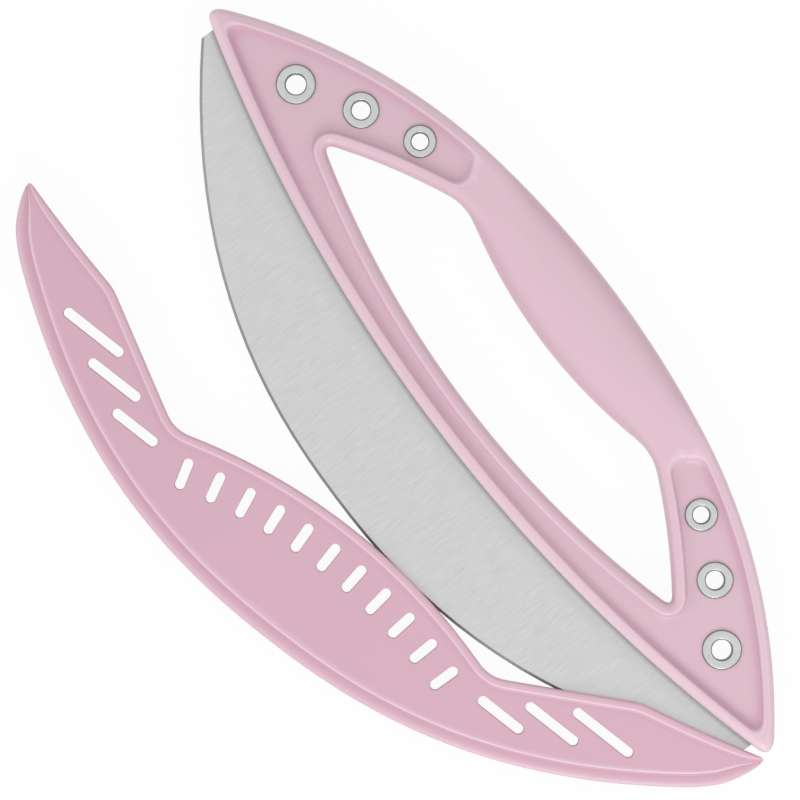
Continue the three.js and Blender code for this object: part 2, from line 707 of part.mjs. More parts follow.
// A round-ended slot, as the loop to be cut right through.
function slotted(centre, length, width, angle) {
  const radius = width / 2;
  const straight = length / 2 - radius;
  const ends = [[straight, -Math.PI / 2], [-straight, Math.PI / 2]];
  return ends.flatMap(([x, start]) =>
    steps(CORNER_STEPS).map((s) => {
      const turn = start + s * Math.PI;
      const point = at(x + radius * Math.cos(turn), radius * Math.sin(turn));
      return point.rotateAround(at(0, 0), angle).add(centre);
    }),
  );
}

function sheathCuts() {
  const cuts = [];
  const firstX = SHEATH_TIP_X - SLOT_FROM_TIP;
  const firstY = belowEdge(firstX, SHEATH_EDGE_GAP + SHEATH_RIM - SLOT_INSET).y;
  for (let i = 0; i < SLOT_COUNT; i++) {
    for (const side of [-1, 1]) {
      const centre = at(side * (firstX - i * SLOT_STEP_X), firstY - i * SLOT_STEP_Y);
      cuts.push(slotted(centre, SLOT_LENGTH - i * SLOT_SHORTENING, SLOT_WIDTH, 0));
    }
  }
  for (const share of steps(VENT_COUNT - 1)) {
    const x = (DIP_X - VENT_END_GAP) * (2 * share - 1);
    const lean = Math.asin(x / BULGE_RADIUS);
    const edge = bulgePoint(x);
    const centre = edge.add(at(-Math.sin(lean), -Math.cos(lean)).multiplyScalar(VENT_INSET));
    cuts.push(slotted(centre, VENT_LENGTH, SLOT_WIDTH, Math.PI / 2 - lean));
  }
  return cuts;
}

function sheath() {
  const tall = PANEL_HALF + LIP_HEIGHT + THROUGH;
  let shell = sheathBody().subtract(prism(slotLoop(), -SLOT_HALF, SLOT_HALF));
  for (const cut of sheathCuts()) {
    shell = shell.subtract(prism(cut, -tall, tall));
  }
  return shell;
}

// Assembly

const plastic = (color) => new THREE.MeshStandardMaterial({ color, roughness: 0.45, metalness: 0 });
const steel = (color, roughness) => new THREE.MeshStandardMaterial({ color, roughness, metalness: 1 });
const handlePink = plastic(0xe2c0cd);
const sheathPink = plastic(0xdcb4c4);
const brushedSteel = steel(0xd0d0d0, 0.35);
const rivetSteel = steel(0xd4d6d6, 0.3);

const named = (name, solid, material) => {
  const mesh = new THREE.Mesh(geometryOf(solid), material);
  mesh.name = name;
  return mesh;
};

const rivets = placedRivets();
const cutter = new THREE.Group();
cutter.add(named("blade", blade(rivets), brushedSteel));
cutter.add(named("handle_front_scale", frontScale(rivets), handlePink));
cutter.add(named("handle_back_scale", backScale(rivets), handlePink));
for (const rivet of rivets) {
  cutter.add(named(`rivet_sleeve_${rivet.name}`, rivetSleeve(rivet), rivetSteel));
  cutter.add(named(`rivet_post_${rivet.name}`, rivetPost(rivet), rivetSteel));
}

// The sheath turns about its right-hand tip, where it leaves the blade last.
const swing = new THREE.Group();
const sheathMesh = named("sheath", sheath(), sheathPink);
sheathMesh.position.set(-SHEATH_PIVOT.x, -SHEATH_PIVOT.y, 0);
swing.position.set(SHEATH_PIVOT.x, SHEATH_PIVOT.y, 0);
swing.rotation.z = THREE.MathUtils.degToRad(SHEATH_SWING);
swing.add(sheathMesh);
cutter.add(swing);

// The cutter lies on its back, with the origin under the middle of the grip.
const gripMiddle = (bellyPoint(0).y + crownPoint(0).y) / 2;
const part = new THREE.Group();
part.name = "pizza_cutter";
cutter.position.set(0, -gripMiddle, HALF_THICKNESS);
part.add(cutter);

export default part;
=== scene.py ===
# %% [markdown]
# # A rocking pizza cutter
# A curved steel blade is riveted between the two plastic scales of a loop handle, and a plastic
# sheath covers the cutting edge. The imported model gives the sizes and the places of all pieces.
# This lesson models the plastic pieces and the rivets again with soft, moulded edges, gives every
# piece a finish, and lights it all like a catalogue picture.

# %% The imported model
import math

import bpy
from mathutils import Matrix, Vector


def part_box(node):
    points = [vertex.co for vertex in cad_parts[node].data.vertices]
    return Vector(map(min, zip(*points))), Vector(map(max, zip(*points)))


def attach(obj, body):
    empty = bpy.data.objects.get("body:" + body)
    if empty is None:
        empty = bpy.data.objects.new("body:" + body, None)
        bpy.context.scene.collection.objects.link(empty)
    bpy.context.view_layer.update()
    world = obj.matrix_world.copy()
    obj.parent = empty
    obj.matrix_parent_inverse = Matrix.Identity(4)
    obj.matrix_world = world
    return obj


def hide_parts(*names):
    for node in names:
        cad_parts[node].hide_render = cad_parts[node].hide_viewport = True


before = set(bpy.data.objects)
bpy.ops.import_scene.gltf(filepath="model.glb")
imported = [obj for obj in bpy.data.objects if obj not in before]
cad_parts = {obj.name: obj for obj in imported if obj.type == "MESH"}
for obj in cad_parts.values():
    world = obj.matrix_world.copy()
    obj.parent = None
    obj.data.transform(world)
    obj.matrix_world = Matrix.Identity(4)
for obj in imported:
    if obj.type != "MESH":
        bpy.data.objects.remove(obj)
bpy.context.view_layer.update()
scene = bpy.context.scene

# %% [markdown]
# ## The drawing
# The shapes are worked out in millimetres on the cutter's own drawing: x runs along it from its
# middle, y from the cutting edge to the grip with 0 where the blade leaves the handle, and z out
# of the blade's middle plane. `in_model` turns a point of the drawing into the model's metres.

# %% Places on the drawing
MM = 0.001
GRIP_MIDDLE = 69.85  # the model's origin is under the middle of the grip
HALF_THICKNESS = 8.0
HALVINGS = 40
NEAR_ZERO = 1e-9


def in_model(x, y, z):
    return Vector((x, y - GRIP_MIDDLE, z + HALF_THICKNESS)) * MM


def between(a, b, share):
    return a + (b - a) * share


def steps(count):
    return [i / count for i in range(count + 1)]


def last_below(rising, goal, high):
    """The largest station up to a limit at which a rising function stays below a goal."""
    low = 0.0
    for _ in range(HALVINGS):
        middle = (low + high) / 2
        low, high = (middle, high) if rising(middle) < goal else (low, middle)
    return low


def bend(a, corner, b, count):
    """Points of a corner rounded by a parabola, without the last one."""
    return [a.lerp(corner, t).lerp(corner.lerp(b, t), t) for t in steps(count)[:-1]]


def right_normals(line):
    """Normals to the right of a line of points, square to x = 0 where it starts and ends there."""
    found = []
    for i, p in enumerate(line):
        along = line[min(i + 1, len(line) - 1)] - line[max(i - 1, 0)]
        found.append(Vector((along.y, -along.x)).normalized())
        if abs(p.x) < NEAR_ZERO:
            found[-1] = Vector((0, math.copysign(1, found[-1].y)))
    return found


print("middle of the grip in the model:", tuple(in_model(0, GRIP_MIDDLE, 0)))

# %% [markdown]
# ## Helpers for modelling by hand
# Operators act on whatever is selected, so each new piece starts with nothing selected. Modifiers
# are applied at once, so that a finished piece is one plain mesh with its place in its points.

# %% Selecting, applying and finishing


def deselect():
    bpy.ops.object.select_all(action="DESELECT")


def object_mode():
    bpy.ops.object.mode_set(mode="OBJECT")


def only(piece):
    if bpy.context.object and bpy.context.object.mode != "OBJECT":
        object_mode()
    deselect()
    piece.select_set(True)
    bpy.context.view_layer.objects.active = piece


def edit_all(piece):
    only(piece)
    bpy.ops.object.mode_set(mode="EDIT")
    bpy.ops.mesh.select_all(action="SELECT")


def outwards(piece):
    edit_all(piece)
    bpy.ops.mesh.normals_make_consistent(inside=False)
    object_mode()


def apply(piece, kind, **settings):
    only(piece)
    modifier = piece.modifiers.new(kind.title(), kind)
    for name, value in settings.items():
        setattr(modifier, name, value)
    bpy.ops.object.modifier_apply(modifier=modifier.name)


def cut(piece, tool):
    apply(piece, "BOOLEAN", operation="DIFFERENCE", object=tool, solver="EXACT")
    bpy.data.objects.remove(tool)


def smooth(piece, degrees):
    only(piece)
    bpy.ops.object.shade_smooth_by_angle(angle=math.radians(degrees))


def joined(tools):
    deselect()
    for tool in tools:
        tool.select_set(True)
    bpy.context.view_layer.objects.active = tools[0]
    bpy.ops.object.join()
    return tools[0]


def place_points(piece, points):
    piece.data.vertices.foreach_set("co", [c for p in points for c in p])
    piece.data.update()


def finish_piece(piece, name, body, node):
    piece.name = piece.data.name = name
    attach(piece, body)
    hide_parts(node)
    triangles = sum(len(p.vertices) - 2 for p in piece.data.polygons)
    print(name, "triangles:", triangles)


# %% [markdown]
# ## The handle's outline
# The edge that the blade leaves is one long arc. The top edge is an arc over the grip that runs
# on into a tighter arc down to each tip. Lines inside the outline, such as the rim of the sunk
# panel, follow the same arcs at some distance, so one function draws them all.

# %% Arcs of the handle
HALF_LENGTH = 179.3
HEIGHT = 87.0
BLADE_SIDE_RADIUS = 645.0
CROWN_RADIUS = 398.0
CROWN_HALF = 70.0
TIP_FACE = 4.6


def blade_side_y(x, inset=0.0):
    return BLADE_SIDE_RADIUS - math.sqrt((BLADE_SIDE_RADIUS - inset) ** 2 - x * x)


over_grip = (Vector((0, HEIGHT - CROWN_RADIUS)), CROWN_RADIUS)


def tip_arc():
    centre, radius = over_grip
    start = Vector((CROWN_HALF, centre.y + math.sqrt(radius**2 - CROWN_HALF**2)))
    inwards = (centre - start).normalized()
    chord = Vector((HALF_LENGTH, blade_side_y(HALF_LENGTH) + TIP_FACE)) - start
    tighter = chord.length_squared / (2 * chord.dot(inwards))
    return start + inwards * tighter, tighter


towards_tip = tip_arc()


def crown_point(station, inset=0.0):
    centre, radius = over_grip if station < CROWN_HALF else towards_tip
    across = station - centre.x
    return centre + Vector((across, math.sqrt(radius**2 - across**2))) * (1 - inset / radius)


def crown_station(x, inset):
    return last_below(lambda s: crown_point(s, inset).x, x, HALF_LENGTH + inset)


print("tip arc radius:", round(towards_tip[1], 2))

# %% [markdown]
# ## The hand opening
# The opening is bounded by the bar beside the blade, two slanting sides and the belly of the
# grip. The stations along it are paired with stations on the outline, so that the handle can be
# modelled as one ring of short cross-sections. Stations crowd round the end of the sunk panel,
# where the wall of the panel turns two corners.

# %% Arcs of the opening
BAR_WIDTH = 15.0
FLOOR_RADIUS = 397.0
OPENING_CORNER = 112.4516
OPENING_TRIM = 5.0
SIDE_BULGE = 1.8
GRIP_DEPTH = 34.3
GRIP_CORNER = 59.5
BELLY_RADIUS = 212.0
BELLY_TRIM = 8.0
SIDE_STEPS = 200  # fine steps along the side, and along the belly
CORNER_STEPS = 40


def floor_point(x):
    return Vector((x, BAR_WIDTH + FLOOR_RADIUS - math.sqrt(FLOOR_RADIUS**2 - x * x)))


def belly_point(x):
    top = HEIGHT - GRIP_DEPTH + BELLY_RADIUS
    return Vector((x, top - math.sqrt(BELLY_RADIUS**2 - x * x)))


def opening_side():
    """A fine line from the lower corner of the opening up its side and along the belly."""
    end, upper = floor_point(OPENING_CORNER), belly_point(GRIP_CORNER)
    across = upper - end
    bow = Vector((across.y, -across.x)).normalized() * 2 * SIDE_BULGE
    middle = end.lerp(upper, 0.5) + bow
    low, high = OPENING_TRIM / across.length, 1 - BELLY_TRIM / across.length
    side = [end.lerp(middle, t).lerp(middle.lerp(upper, t), t)
            for t in (between(low, high, s) for s in steps(SIDE_STEPS))]
    belly_end = GRIP_CORNER - BELLY_TRIM
    corner = bend(side[-1], upper, belly_point(belly_end), CORNER_STEPS)
    belly = [belly_point(belly_end * (1 - s)) for s in steps(SIDE_STEPS)]
    return side[:-1] + corner + belly, end


side_line, low_corner = opening_side()
side_normals = right_normals(side_line)
print("points along the side of the opening:", len(side_line))

# %% Stations round the ring
RIM_OPENING = 5.0
BAR_STEPS = 20
NOSE_STEPS = 5
FAN = 1.6  # stations on the bar crowd towards the opening's corners
PANEL_END = (65.0, 73.8)  # x beside the opening and under the crown
ARM_STEPS = 12
# x back from the panel's end, and then pairs of x past it.
NEAR_END = (9.0, 7.0, 5.4, 4.2, 3.2, 2.3, 1.5, 0.8, 0.2, -0.5, -1.2, -2.2)
PAST_END = ((59.6, 68.7), (56.6, 64.4), (53.0, 59.2), (49.0, 53.0), (44.0, 46.0), (37.0, 37.5),
            (28.0, 28.0), (18.5, 18.5), (9.0, 9.0), (0.0, 0.0))
FAR = 99.0  # stands for a station away from the panel's end
rim_line = [p + n * RIM_OPENING for p, n in zip(side_line, side_normals)]
floor_end = OPENING_CORNER - OPENING_TRIM
floor_line = [floor_point(floor_end * (1 - (1 - s) ** FAN)) for s in steps(BAR_STEPS)[:-1]]
floor_line += bend(floor_point(floor_end), low_corner, side_line[0], 2 * NOSE_STEPS)


def side_index(rim_x):
    """Where along the side the rim beside the opening has a given x."""
    far = max(range(len(rim_line)), key=lambda i: rim_line[i].x)
    return min(range(far, len(rim_line)), key=lambda i: abs(rim_line[i].x - rim_x))


arm_stations = []
first_rim = rim_line[0].x
for share in steps(ARM_STEPS)[:-1]:
    arm_stations.append((between(first_rim, PANEL_END[0] + NEAR_END[0], share), share, FAR))
for back in NEAR_END:
    arm_stations.append((PANEL_END[0] + back, PANEL_END[1] + back, back))
for low_x, top_x in PAST_END:
    arm_stations.append((low_x, top_x, -FAR))
picked = [0] + [side_index(low) for low, _, _ in arm_stations[1:]]
opening_half = floor_line + [side_line[i] for i in picked]
opening_normals = right_normals(floor_line + side_line[:2])[:-2] + [side_normals[i] for i in picked]
from_end = [FAR] * len(floor_line) + [back for _, _, back in arm_stations]
print("stations in half of the ring:", len(opening_half))

# %% [markdown]
# ## The handle's section
# A ring of cross-sections is exactly what a torus is, so each scale starts as a torus primitive
# with one segment for each station and one for each corner of the section. Moving its points
# onto the section gives a coarse cage, and a Subdivision Surface rounds it: close rows of points
# make crisp edges, wide ones make soft swells. A Bevel could round the edges as well, but not
# let the thick round of the grip fade into the thin rims of the ends.

# %% Corners of the section
TOP = HALF_THICKNESS
# Inset and height of the corners up to the top face, painted light (highlight above 0, shade below 0)
# beside the opening, beside the blade and under the crown, then inset and height across the grip.
EDGE_ROWS = (
    (0.3, 0.05, (0.0, 0.0, 0.0), (0.3, 0.05)),
    (0.0, 0.4, (-0.1, 0.0, 0.0), (0.0, 0.4)),
    (0.0, 2.4, (-0.1, 0.2, 0.0), (0.0, 1.7)),
    (0.12, 4.6, (-0.1, 0.65, 0.0), (0.7, 3.6)),
    (0.75, 6.3, (0.05, 0.8, 0.25), (2.6, 5.5)),
    (2.0, 7.4, (0.1, 0.4, 0.55), (5.4, 6.75)),
)
# Then over the rim and down the wall of the panel: distance past the rim, depth, painted light
# (painted highlight on edges, painted shade in corners), largest share of the panel's width, then
# inset and height across the grip.
PANEL_ROWS = (
    (-1.2, 0.14, 0.25, 0.0, (8.4, 7.35)),
    (-0.35, 0.0, 0.4, 0.0, (10.4, 7.6)),
    (0.1, 0.7, 0.2, 0.08, (11.8, 7.74)),
    (0.5, 2.3, 0.0, 0.16, (13.0, 7.83)),
    (1.3, 2.9, -0.05, 0.3, (14.2, 7.9)),
    (2.7, 3.0, 0.0, 0.4, (15.4, 7.94)),
    (4.4, 3.0, 0.0, 0.46, (16.3, 7.97)),
)
# Painted shade added to those rows, under the crown and beside the blade, at the dark walls of the
# ends.
WALL_SHADE = ((0.0, 0.0), (0.0, 0.0), (-0.1, -0.1), (-0.3, -0.35), (-0.4, -0.5), (-0.1, -0.2),
              (0.0, 0.0))
# Across the middle of the panel or the grip: share of the width, and painted light (a painted
# highlight along the middle of the grip).
MIDDLE_ROWS = ((0.3, 0.0), (0.47, 0.1), (0.5, 0.5), (0.53, 0.1), (0.7, 0.0))
print("corners from the parting plane to the panel:", len(EDGE_ROWS) + len(PANEL_ROWS))

# %% Fades along the ring
GRIP_FADE = (44.0, 61.0)  # the grip is fully round before the first x, and has rims from the second
SHADE_FADE = (70.0, 105.0)  # x along the bar over which the shade of the walls sets in


def smooth_share(value):
    value = min(max(value, 0.0), 1.0)
    return value * value * (3 - 2 * value)


def faded_in(x, start, full):
    return smooth_share((x - start) / (full - start))


arm_start = len(floor_line)
round_tip = [1 - s for s in steps(arm_start - BAR_STEPS)[:-1]]
beside_blade = [1.0] * BAR_STEPS + round_tip + [0.0] * len(arm_stations)
grip_share = [0.0] * arm_start
narrowing = [1.0] * arm_start
for p, (_, top, _) in zip(opening_half[arm_start:], arm_stations):
    grip_share.append(1 - faded_in(p.x, *GRIP_FADE))
    width = (crown_point(top) - p).length if grip_share[-1] else GRIP_DEPTH
    narrowing.append(min(1.0, width / GRIP_DEPTH))
shade_share = [faded_in(p.x, *SHADE_FADE) for p in floor_line]
shade_share += [faded_in(back, 0.0, NEAR_END[0]) for _, _, back in arm_stations]
print("stations on the full round of the grip:", grip_share.count(1.0))

# %% Lines inside the outline and round the opening
TIP_TRIM = 3.5
LEAST_NOSE = 1.0


def outer_half(blade_inset, crown_inset, grip_inset, least_nose=LEAST_NOSE):
    """Half of a line inside the outline, with a point for each station."""
    def spare(x):
        crown = crown_point(crown_station(x, crown_inset), crown_inset).y
        return blade_side_y(x, blade_inset) + least_nose - crown

    tip = last_below(spare, 0.0, HALF_LENGTH - max(blade_inset, crown_inset))
    crown_tip = crown_station(tip, crown_inset)
    low = Vector((tip, blade_side_y(tip, blade_inset)))
    high = crown_point(crown_tip, crown_inset)
    middle = low.lerp(high, 0.5)
    trim = min(TIP_TRIM, (high - low).length)
    side_end, crown_start = tip - trim, crown_tip - trim
    side = [Vector((side_end * s, blade_side_y(side_end * s, blade_inset))) for s in steps(BAR_STEPS)]
    line = side[:-1] + bend(side[-1], low, middle, NOSE_STEPS)
    line += bend(middle, high, crown_point(crown_start, crown_inset), NOSE_STEPS)
    for i, (_, top, _) in enumerate(arm_stations):
        if i < ARM_STEPS:
            top = between(crown_start, PANEL_END[1] + NEAR_END[0], top)
        k = arm_start + i
        line.append(crown_point(top, between(crown_inset, grip_inset * narrowing[k], grip_share[k])))
    return line


def inner_half(edge_inset, grip_inset):
    return [p + n * between(edge_inset, grip_inset * narrow, share)
            for p, n, narrow, share in zip(opening_half, opening_normals, narrowing, grip_share)]


print("handle's tip at x:", round(max(p.x for p in outer_half(0, 0, 0)), 2))

# %% [markdown]
# ## The end of the sunk panel
# Near the grip the panel ends in a soft slope with round corners. The rows of points run straight
# past the end, so there the depth comes from the distance past a wall that turns two corners, each
# a round about a middle of its own: the rows then rise one after the other, and the Subdivision
# Surface joins them smoothly.

# %% Round corners for the panel
RIM_CROWN = 4.5
END_ROUND = 5.5


def square_to(line, towards):
    """Direction square to a line, on the side that another direction points to."""
    side = Vector((-line.y, line.x)).normalized()
    return side if side.dot(towards) > 0 else -side


end_low = rim_line[side_index(PANEL_END[0])]
end_high = crown_point(PANEL_END[1], RIM_CROWN)
rim_low = rim_line[side_index(PANEL_END[0] + END_ROUND)] - end_low
rim_high = crown_point(PANEL_END[1] + END_ROUND, RIM_CROWN) - end_high
off_grip = square_to(end_high - end_low, rim_high)


def round_middle(corner, along, other):
    """Middle of the round between the panel's end and a rim."""
    inwards = square_to(along, other - corner)
    return corner + (off_grip + inwards) * END_ROUND / (1 + off_grip.dot(inwards))


LOW_ROUND = (round_middle(end_low, rim_low, end_high), rim_low)
HIGH_ROUND = (round_middle(end_high, rim_high, end_low), rim_high)
print("width of the panel's end:", round((end_high - end_low).length, 2))

# %% Depth and wear over the panel
END_SOFTNESS = 2.4  # the slope at the end is that much wider than the walls beside it
PANEL_DEPTH = 3.0
panel_profile = [(-FAR, 0.0, 0.0)]
panel_profile += [panel_row[:3] for panel_row in PANEL_ROWS]
panel_profile += [(END_ROUND, PANEL_DEPTH, 0.0), (FAR, PANEL_DEPTH, 0.0)]


def past_wall(p, back, past, rounding):
    """Distance past the wall of a point that lies some way past a rim, if it has one."""
    if abs(back) == FAR:
        return past if back > 0 else -FAR
    if rounding and (p - rounding[0]).dot(rounding[1]) > 0:
        return past
    low, high = LOW_ROUND[0], HIGH_ROUND[0]
    share = (p - low).dot(high - low) / (high - low).length_squared
    off = p - low.lerp(high, min(max(share, 0.0), 1.0))
    lean, reach = off.dot(off_grip), off.length
    if lean >= 0 and (0 < share < 1 or not rounding):
        return END_ROUND
    return (END_ROUND - reach) / between(1.0, END_SOFTNESS, (min(lean, 0.0) / reach) ** 2)


def on_profile(past):
    """Depth and painted light at a distance past the wall."""
    for (a, depth_a, painted_light_a), (b, depth_b, painted_light_b) in zip(panel_profile, panel_profile[1:]):
        if past <= b:
            share = (past - a) / (b - a) if a > -FAR else 0.0
            return between(depth_a, depth_b, share), between(painted_light_a, painted_light_b, share)
    return panel_profile[-1][1:]


def panel_surface(line, past, rounding, grip_z, grip_painted_light=0.0):
    """Heights and painted light of one row of points, on the panel and across the grip."""
    heights, painted_light = [], []
    for p, back, share in zip(line, from_end, grip_share):
        depth, tone = on_profile(past_wall(p, back, past, rounding))
        heights.append(between(TOP - depth, grip_z, share))
        painted_light.append(between(tone, grip_painted_light, share))
    return heights, painted_light


print("corners of the panel's profile:", len(panel_profile))

# %% Rows of the cage
RIM_BLADE_SIDE = 4.5
PANEL_NOSE = 4.0


def held_back(line, base, most):
    """Keeps a row from crossing the middle where the panel is narrow."""
    return [b + (p - b) * min(1, m / (p - b).length) for p, b, m in zip(line, base, most)]


def section_rows():
    """Rows of the cage over half the ring, from the parting plane over the face and back."""
    outer, inner = [], []
    # Each row carries painted light: painted highlights on edges, painted shade in corners.
    for edge, edge_z, (by_opening, by_blade, by_crown), (grip, grip_z) in EDGE_ROWS:
        z = [between(edge_z, grip_z, share) for share in grip_share]
        painted_light = [between(by_crown, by_blade, low) * (1 - share)
                for low, share in zip(beside_blade, grip_share)]
        outer.append((outer_half(edge, edge, grip), z, painted_light))
        painted_light = [by_opening * (1 - share) for share in grip_share]
        inner.append((inner_half(edge, grip), z, painted_light))
    for (past, _, _, most, (grip, grip_z)), (by_crown, by_blade) in zip(PANEL_ROWS, WALL_SHADE):
        a = outer_half(RIM_BLADE_SIDE + past, RIM_CROWN + past, grip, PANEL_NOSE)
        b = inner_half(RIM_OPENING + past, grip)
        if most:
            room = [most * (q - p).length for p, q in zip(near, far)]
            a, b = held_back(a, near, room), held_back(b, far, room)
        else:
            near, far = a, b
        z, painted_light = panel_surface(a, past, HIGH_ROUND, grip_z)
        shade = [between(by_crown, by_blade, low) * s for low, s in zip(beside_blade, shade_share)]
        outer.append((a, z, [w + s for w, s in zip(painted_light, shade)]))
        inner.append((b, *panel_surface(b, past, LOW_ROUND, grip_z)))
    a, b = outer[-1][0], inner[-1][0]
    middles = []
    for share, painted_light in MIDDLE_ROWS:
        line = [p.lerp(q, share) for p, q in zip(a, b)]
        middles.append((line, *panel_surface(line, FAR, None, TOP, painted_light)))
    return outer + middles + inner[::-1]


rows = section_rows()
print("corners in the section:", len(rows))

# %% A cage for one scale
# Tones on the points: painted highlights on edges, painted shade in corners and on dark walls.
PAINTED_LIGHT = "edge_tone"
START_RADII = (0.15, 0.02)  # only a start, because every point is moved
SAME_HEIGHT = 0.01
SUBDIVISIONS = 2


def set_tones(piece, tones):
    """Keeps on each point its painted light: a painted highlight above 0, a painted shade below 0."""
    piece.data.attributes.new(PAINTED_LIGHT, "FLOAT", "POINT").data.foreach_set("value", tones)


def scale_cage():
    half = len(opening_half)
    stations = list(range(half)) + list(range(half - 2, 0, -1))
    deselect()
    ring_radius, section_radius = START_RADII
    bpy.ops.mesh.primitive_torus_add(major_segments=len(stations), minor_segments=len(rows),
                                     major_radius=ring_radius, minor_radius=section_radius)
    cage = bpy.context.object
    points, tones = [], []
    for i, station in enumerate(stations):
        mirror = 1 if i < half else -1
        for line, z, tone in rows:
            points.append(in_model(mirror * line[station].x, line[station].y, z[station]))
            tones.append(tone[station])
    place_points(cage, points)
    set_tones(cage, tones)
    outwards(cage)
    return cage


def crease_parting_plane(cage):
    """Keeps the flat face between the scales sharp-edged under the Subdivision Surface."""
    only(cage)
    bpy.ops.object.mode_set(mode="EDIT")
    bpy.ops.mesh.select_all(action="DESELECT")
    object_mode()
    flat = EDGE_ROWS[0][1] + HALF_THICKNESS
    for edge in cage.data.edges:
        heights = [cage.data.vertices[v].co.z / MM for v in edge.vertices]
        edge.select = all(abs(height - flat) < SAME_HEIGHT for height in heights)
    bpy.ops.object.mode_set(mode="EDIT")
    bpy.ops.transform.edge_crease(value=1.0)
    object_mode()


front = scale_cage()
crease_parting_plane(front)
apply(front, "SUBSURF", levels=SUBDIVISIONS, render_levels=SUBDIVISIONS)
print("front scale, uncut:", len(front.data.polygons), "faces")

# %% [markdown]
# ## Cuts in the scales
# Two things are cut from each scale when its surface is final: the holes for the rivets, with a
# plain cylinder each, and the seat of the blade's tang, with a copy of the blade that is swollen
# a little, so that the seat has room all round. The back scale is the front one, mirrored.

# %% The rivets' places
RIVET_ROWS = ("tip", "middle", "grip")
BORE_SHARE = 0.51  # bore to flange
POST_WALL = 0.6
SLEEVE_WALL = 0.7
RIVET_FIT = 0.15
HOLE_ROOM = 0.2
HOLE_SIDES = 64
HOLE_DEPTH = 30.0
rivet_names = [f"{end}_{row_name}" for end in ("left", "right") for row_name in RIVET_ROWS]


def rivet_sizes(name):
    """Middle of a rivet in the model, and the radii of its flange and bore in millimetres."""
    low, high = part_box(f"rivet_sleeve_{name}")
    flange = (high.x - low.x) / 2 / MM
    return (low + high) / 2, flange, flange * BORE_SHARE


def hole_tool():
    tools = []
    for name in rivet_names:
        centre, _, bore = rivet_sizes(name)
        radius = bore + POST_WALL + RIVET_FIT + SLEEVE_WALL + HOLE_ROOM
        bpy.ops.mesh.primitive_cylinder_add(vertices=HOLE_SIDES, radius=radius * MM,
                                            depth=HOLE_DEPTH * MM,
                                            location=(centre.x, centre.y, HALF_THICKNESS * MM))
        tools.append(bpy.context.object)
    tool = joined(tools)
    bpy.ops.object.transform_apply(location=True)
    return tool


print("rivets:", len(rivet_names))

# %% Cutting the front scale, and mirroring it for the back
TANG_ROOM = 0.12
TANG_MERGE = 1e-6
MOULDED_ANGLE = 35  # faces that meet at less than this are shaded as one surface


def copy_of(source):
    twin = bpy.data.objects.new(source.name, source.data.copy())
    scene.collection.objects.link(twin)
    return twin


def tang_tool():
    tool = copy_of(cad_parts["blade"])
    edit_all(tool)
    bpy.ops.mesh.remove_doubles(threshold=TANG_MERGE)
    object_mode()
    apply(tool, "DISPLACE", strength=TANG_ROOM * MM, mid_level=0.0, direction="NORMAL")
    return tool


cut(front, tang_tool())
cut(front, hole_tool())
back = copy_of(front)
middle_plane = Matrix.Translation((0, 0, HALF_THICKNESS * MM))
back.data.transform(middle_plane @ Matrix.Scale(-1, 4, (0, 0, 1)) @ middle_plane.inverted())
outwards(back)
for scale, word in ((front, "front"), (back, "back")):
    smooth(scale, MOULDED_ANGLE)
    finish_piece(scale, f"{word}_scale", "cutter", f"handle_{word}_scale")

# %% [markdown]
# ## The rivets
# Each rivet is a pair of turned pieces: a flange with the outer tube on the front, and a flange
# with the inner tube on the back. A turned piece can be spun from its profile, or drawn ring by
# ring from a circle: extrude the ring, then scale and lift it to the next corner. The second way
# needs no axis to be set, and the last ring is bridged to the first.

# %% Turning the rivets
SEAT = 5.05
FLANGE_TOP = 5.95
TUBE_END = 5.0
POST_SHORT = 0.1
TURN_SIDES = 72
TURNED_ANGLE = 40
# Distance off the bore, and below the top.
LIP_ROUND = ((0.0, 0.85), (0.04, 0.6), (0.18, 0.3), (0.42, 0.09), (0.7, 0.0))


def turned(profile, centre, side):
    """A closed ring from [radius, height] corners, in millimetres, about a rivet's axis."""
    def level(height):
        return (side * height + HALF_THICKNESS) * MM

    deselect()
    radius, height = profile[0]
    bpy.ops.mesh.primitive_circle_add(vertices=TURN_SIDES, radius=radius * MM,
                                      location=(centre.x, centre.y, level(height)))
    piece = bpy.context.object
    bpy.ops.object.transform_apply(location=True)
    edit_all(piece)
    for next_radius, next_height in profile[1:]:
        bpy.ops.mesh.extrude_edges_move()
        grow = next_radius / radius
        bpy.ops.transform.resize(value=(grow, grow, 1), center_override=(centre.x, centre.y, 0))
        bpy.ops.transform.translate(value=(0, 0, level(next_height) - level(height)))
        radius, height = next_radius, next_height
    bpy.ops.mesh.select_all(action="DESELECT")
    bpy.ops.mesh.select_non_manifold()
    bpy.ops.mesh.bridge_edge_loops()
    outwards(piece)
    smooth(piece, TURNED_ANGLE)
    return piece


def rivet_halves(flange, bore):
    """Profiles of the front half and the back half, from the bore over the flange to the tube."""
    lip = [(bore + off, FLANGE_TOP - drop) for off, drop in LIP_ROUND]
    rim = [(flange - off, FLANGE_TOP - drop) for off, drop in LIP_ROUND[::-1]]
    head = lip + rim + [(flange, SEAT)]
    post = bore + POST_WALL
    sleeve = post + RIVET_FIT
    outside = sleeve + SLEEVE_WALL
    front_tube = [(outside, SEAT), (outside, -TUBE_END), (sleeve, -TUBE_END), (sleeve, SEAT),
                  (bore, SEAT)]
    back_tube = [(post, SEAT), (post, POST_SHORT - TUBE_END), (bore, POST_SHORT - TUBE_END)]
    return ("sleeve", head + front_tube, 1), ("post", head + back_tube, -1)


rivets = []
for row_name in RIVET_ROWS:
    centre, flange, bore = rivet_sizes(f"left_{row_name}")
    other, _, _ = rivet_sizes(f"right_{row_name}")
    for half, profile, side in rivet_halves(flange, bore):
        left = turned(profile, centre, side)
        right = copy_of(left)
        right.data.transform(Matrix.Translation((other.x - centre.x, other.y - centre.y, 0)))
        for piece, end in ((left, "left"), (right, "right")):
            name = f"rivet_{half}_{end}_{row_name}"
            finish_piece(piece, f"{name}_turned", "cutter", name)
            rivets.append(piece)

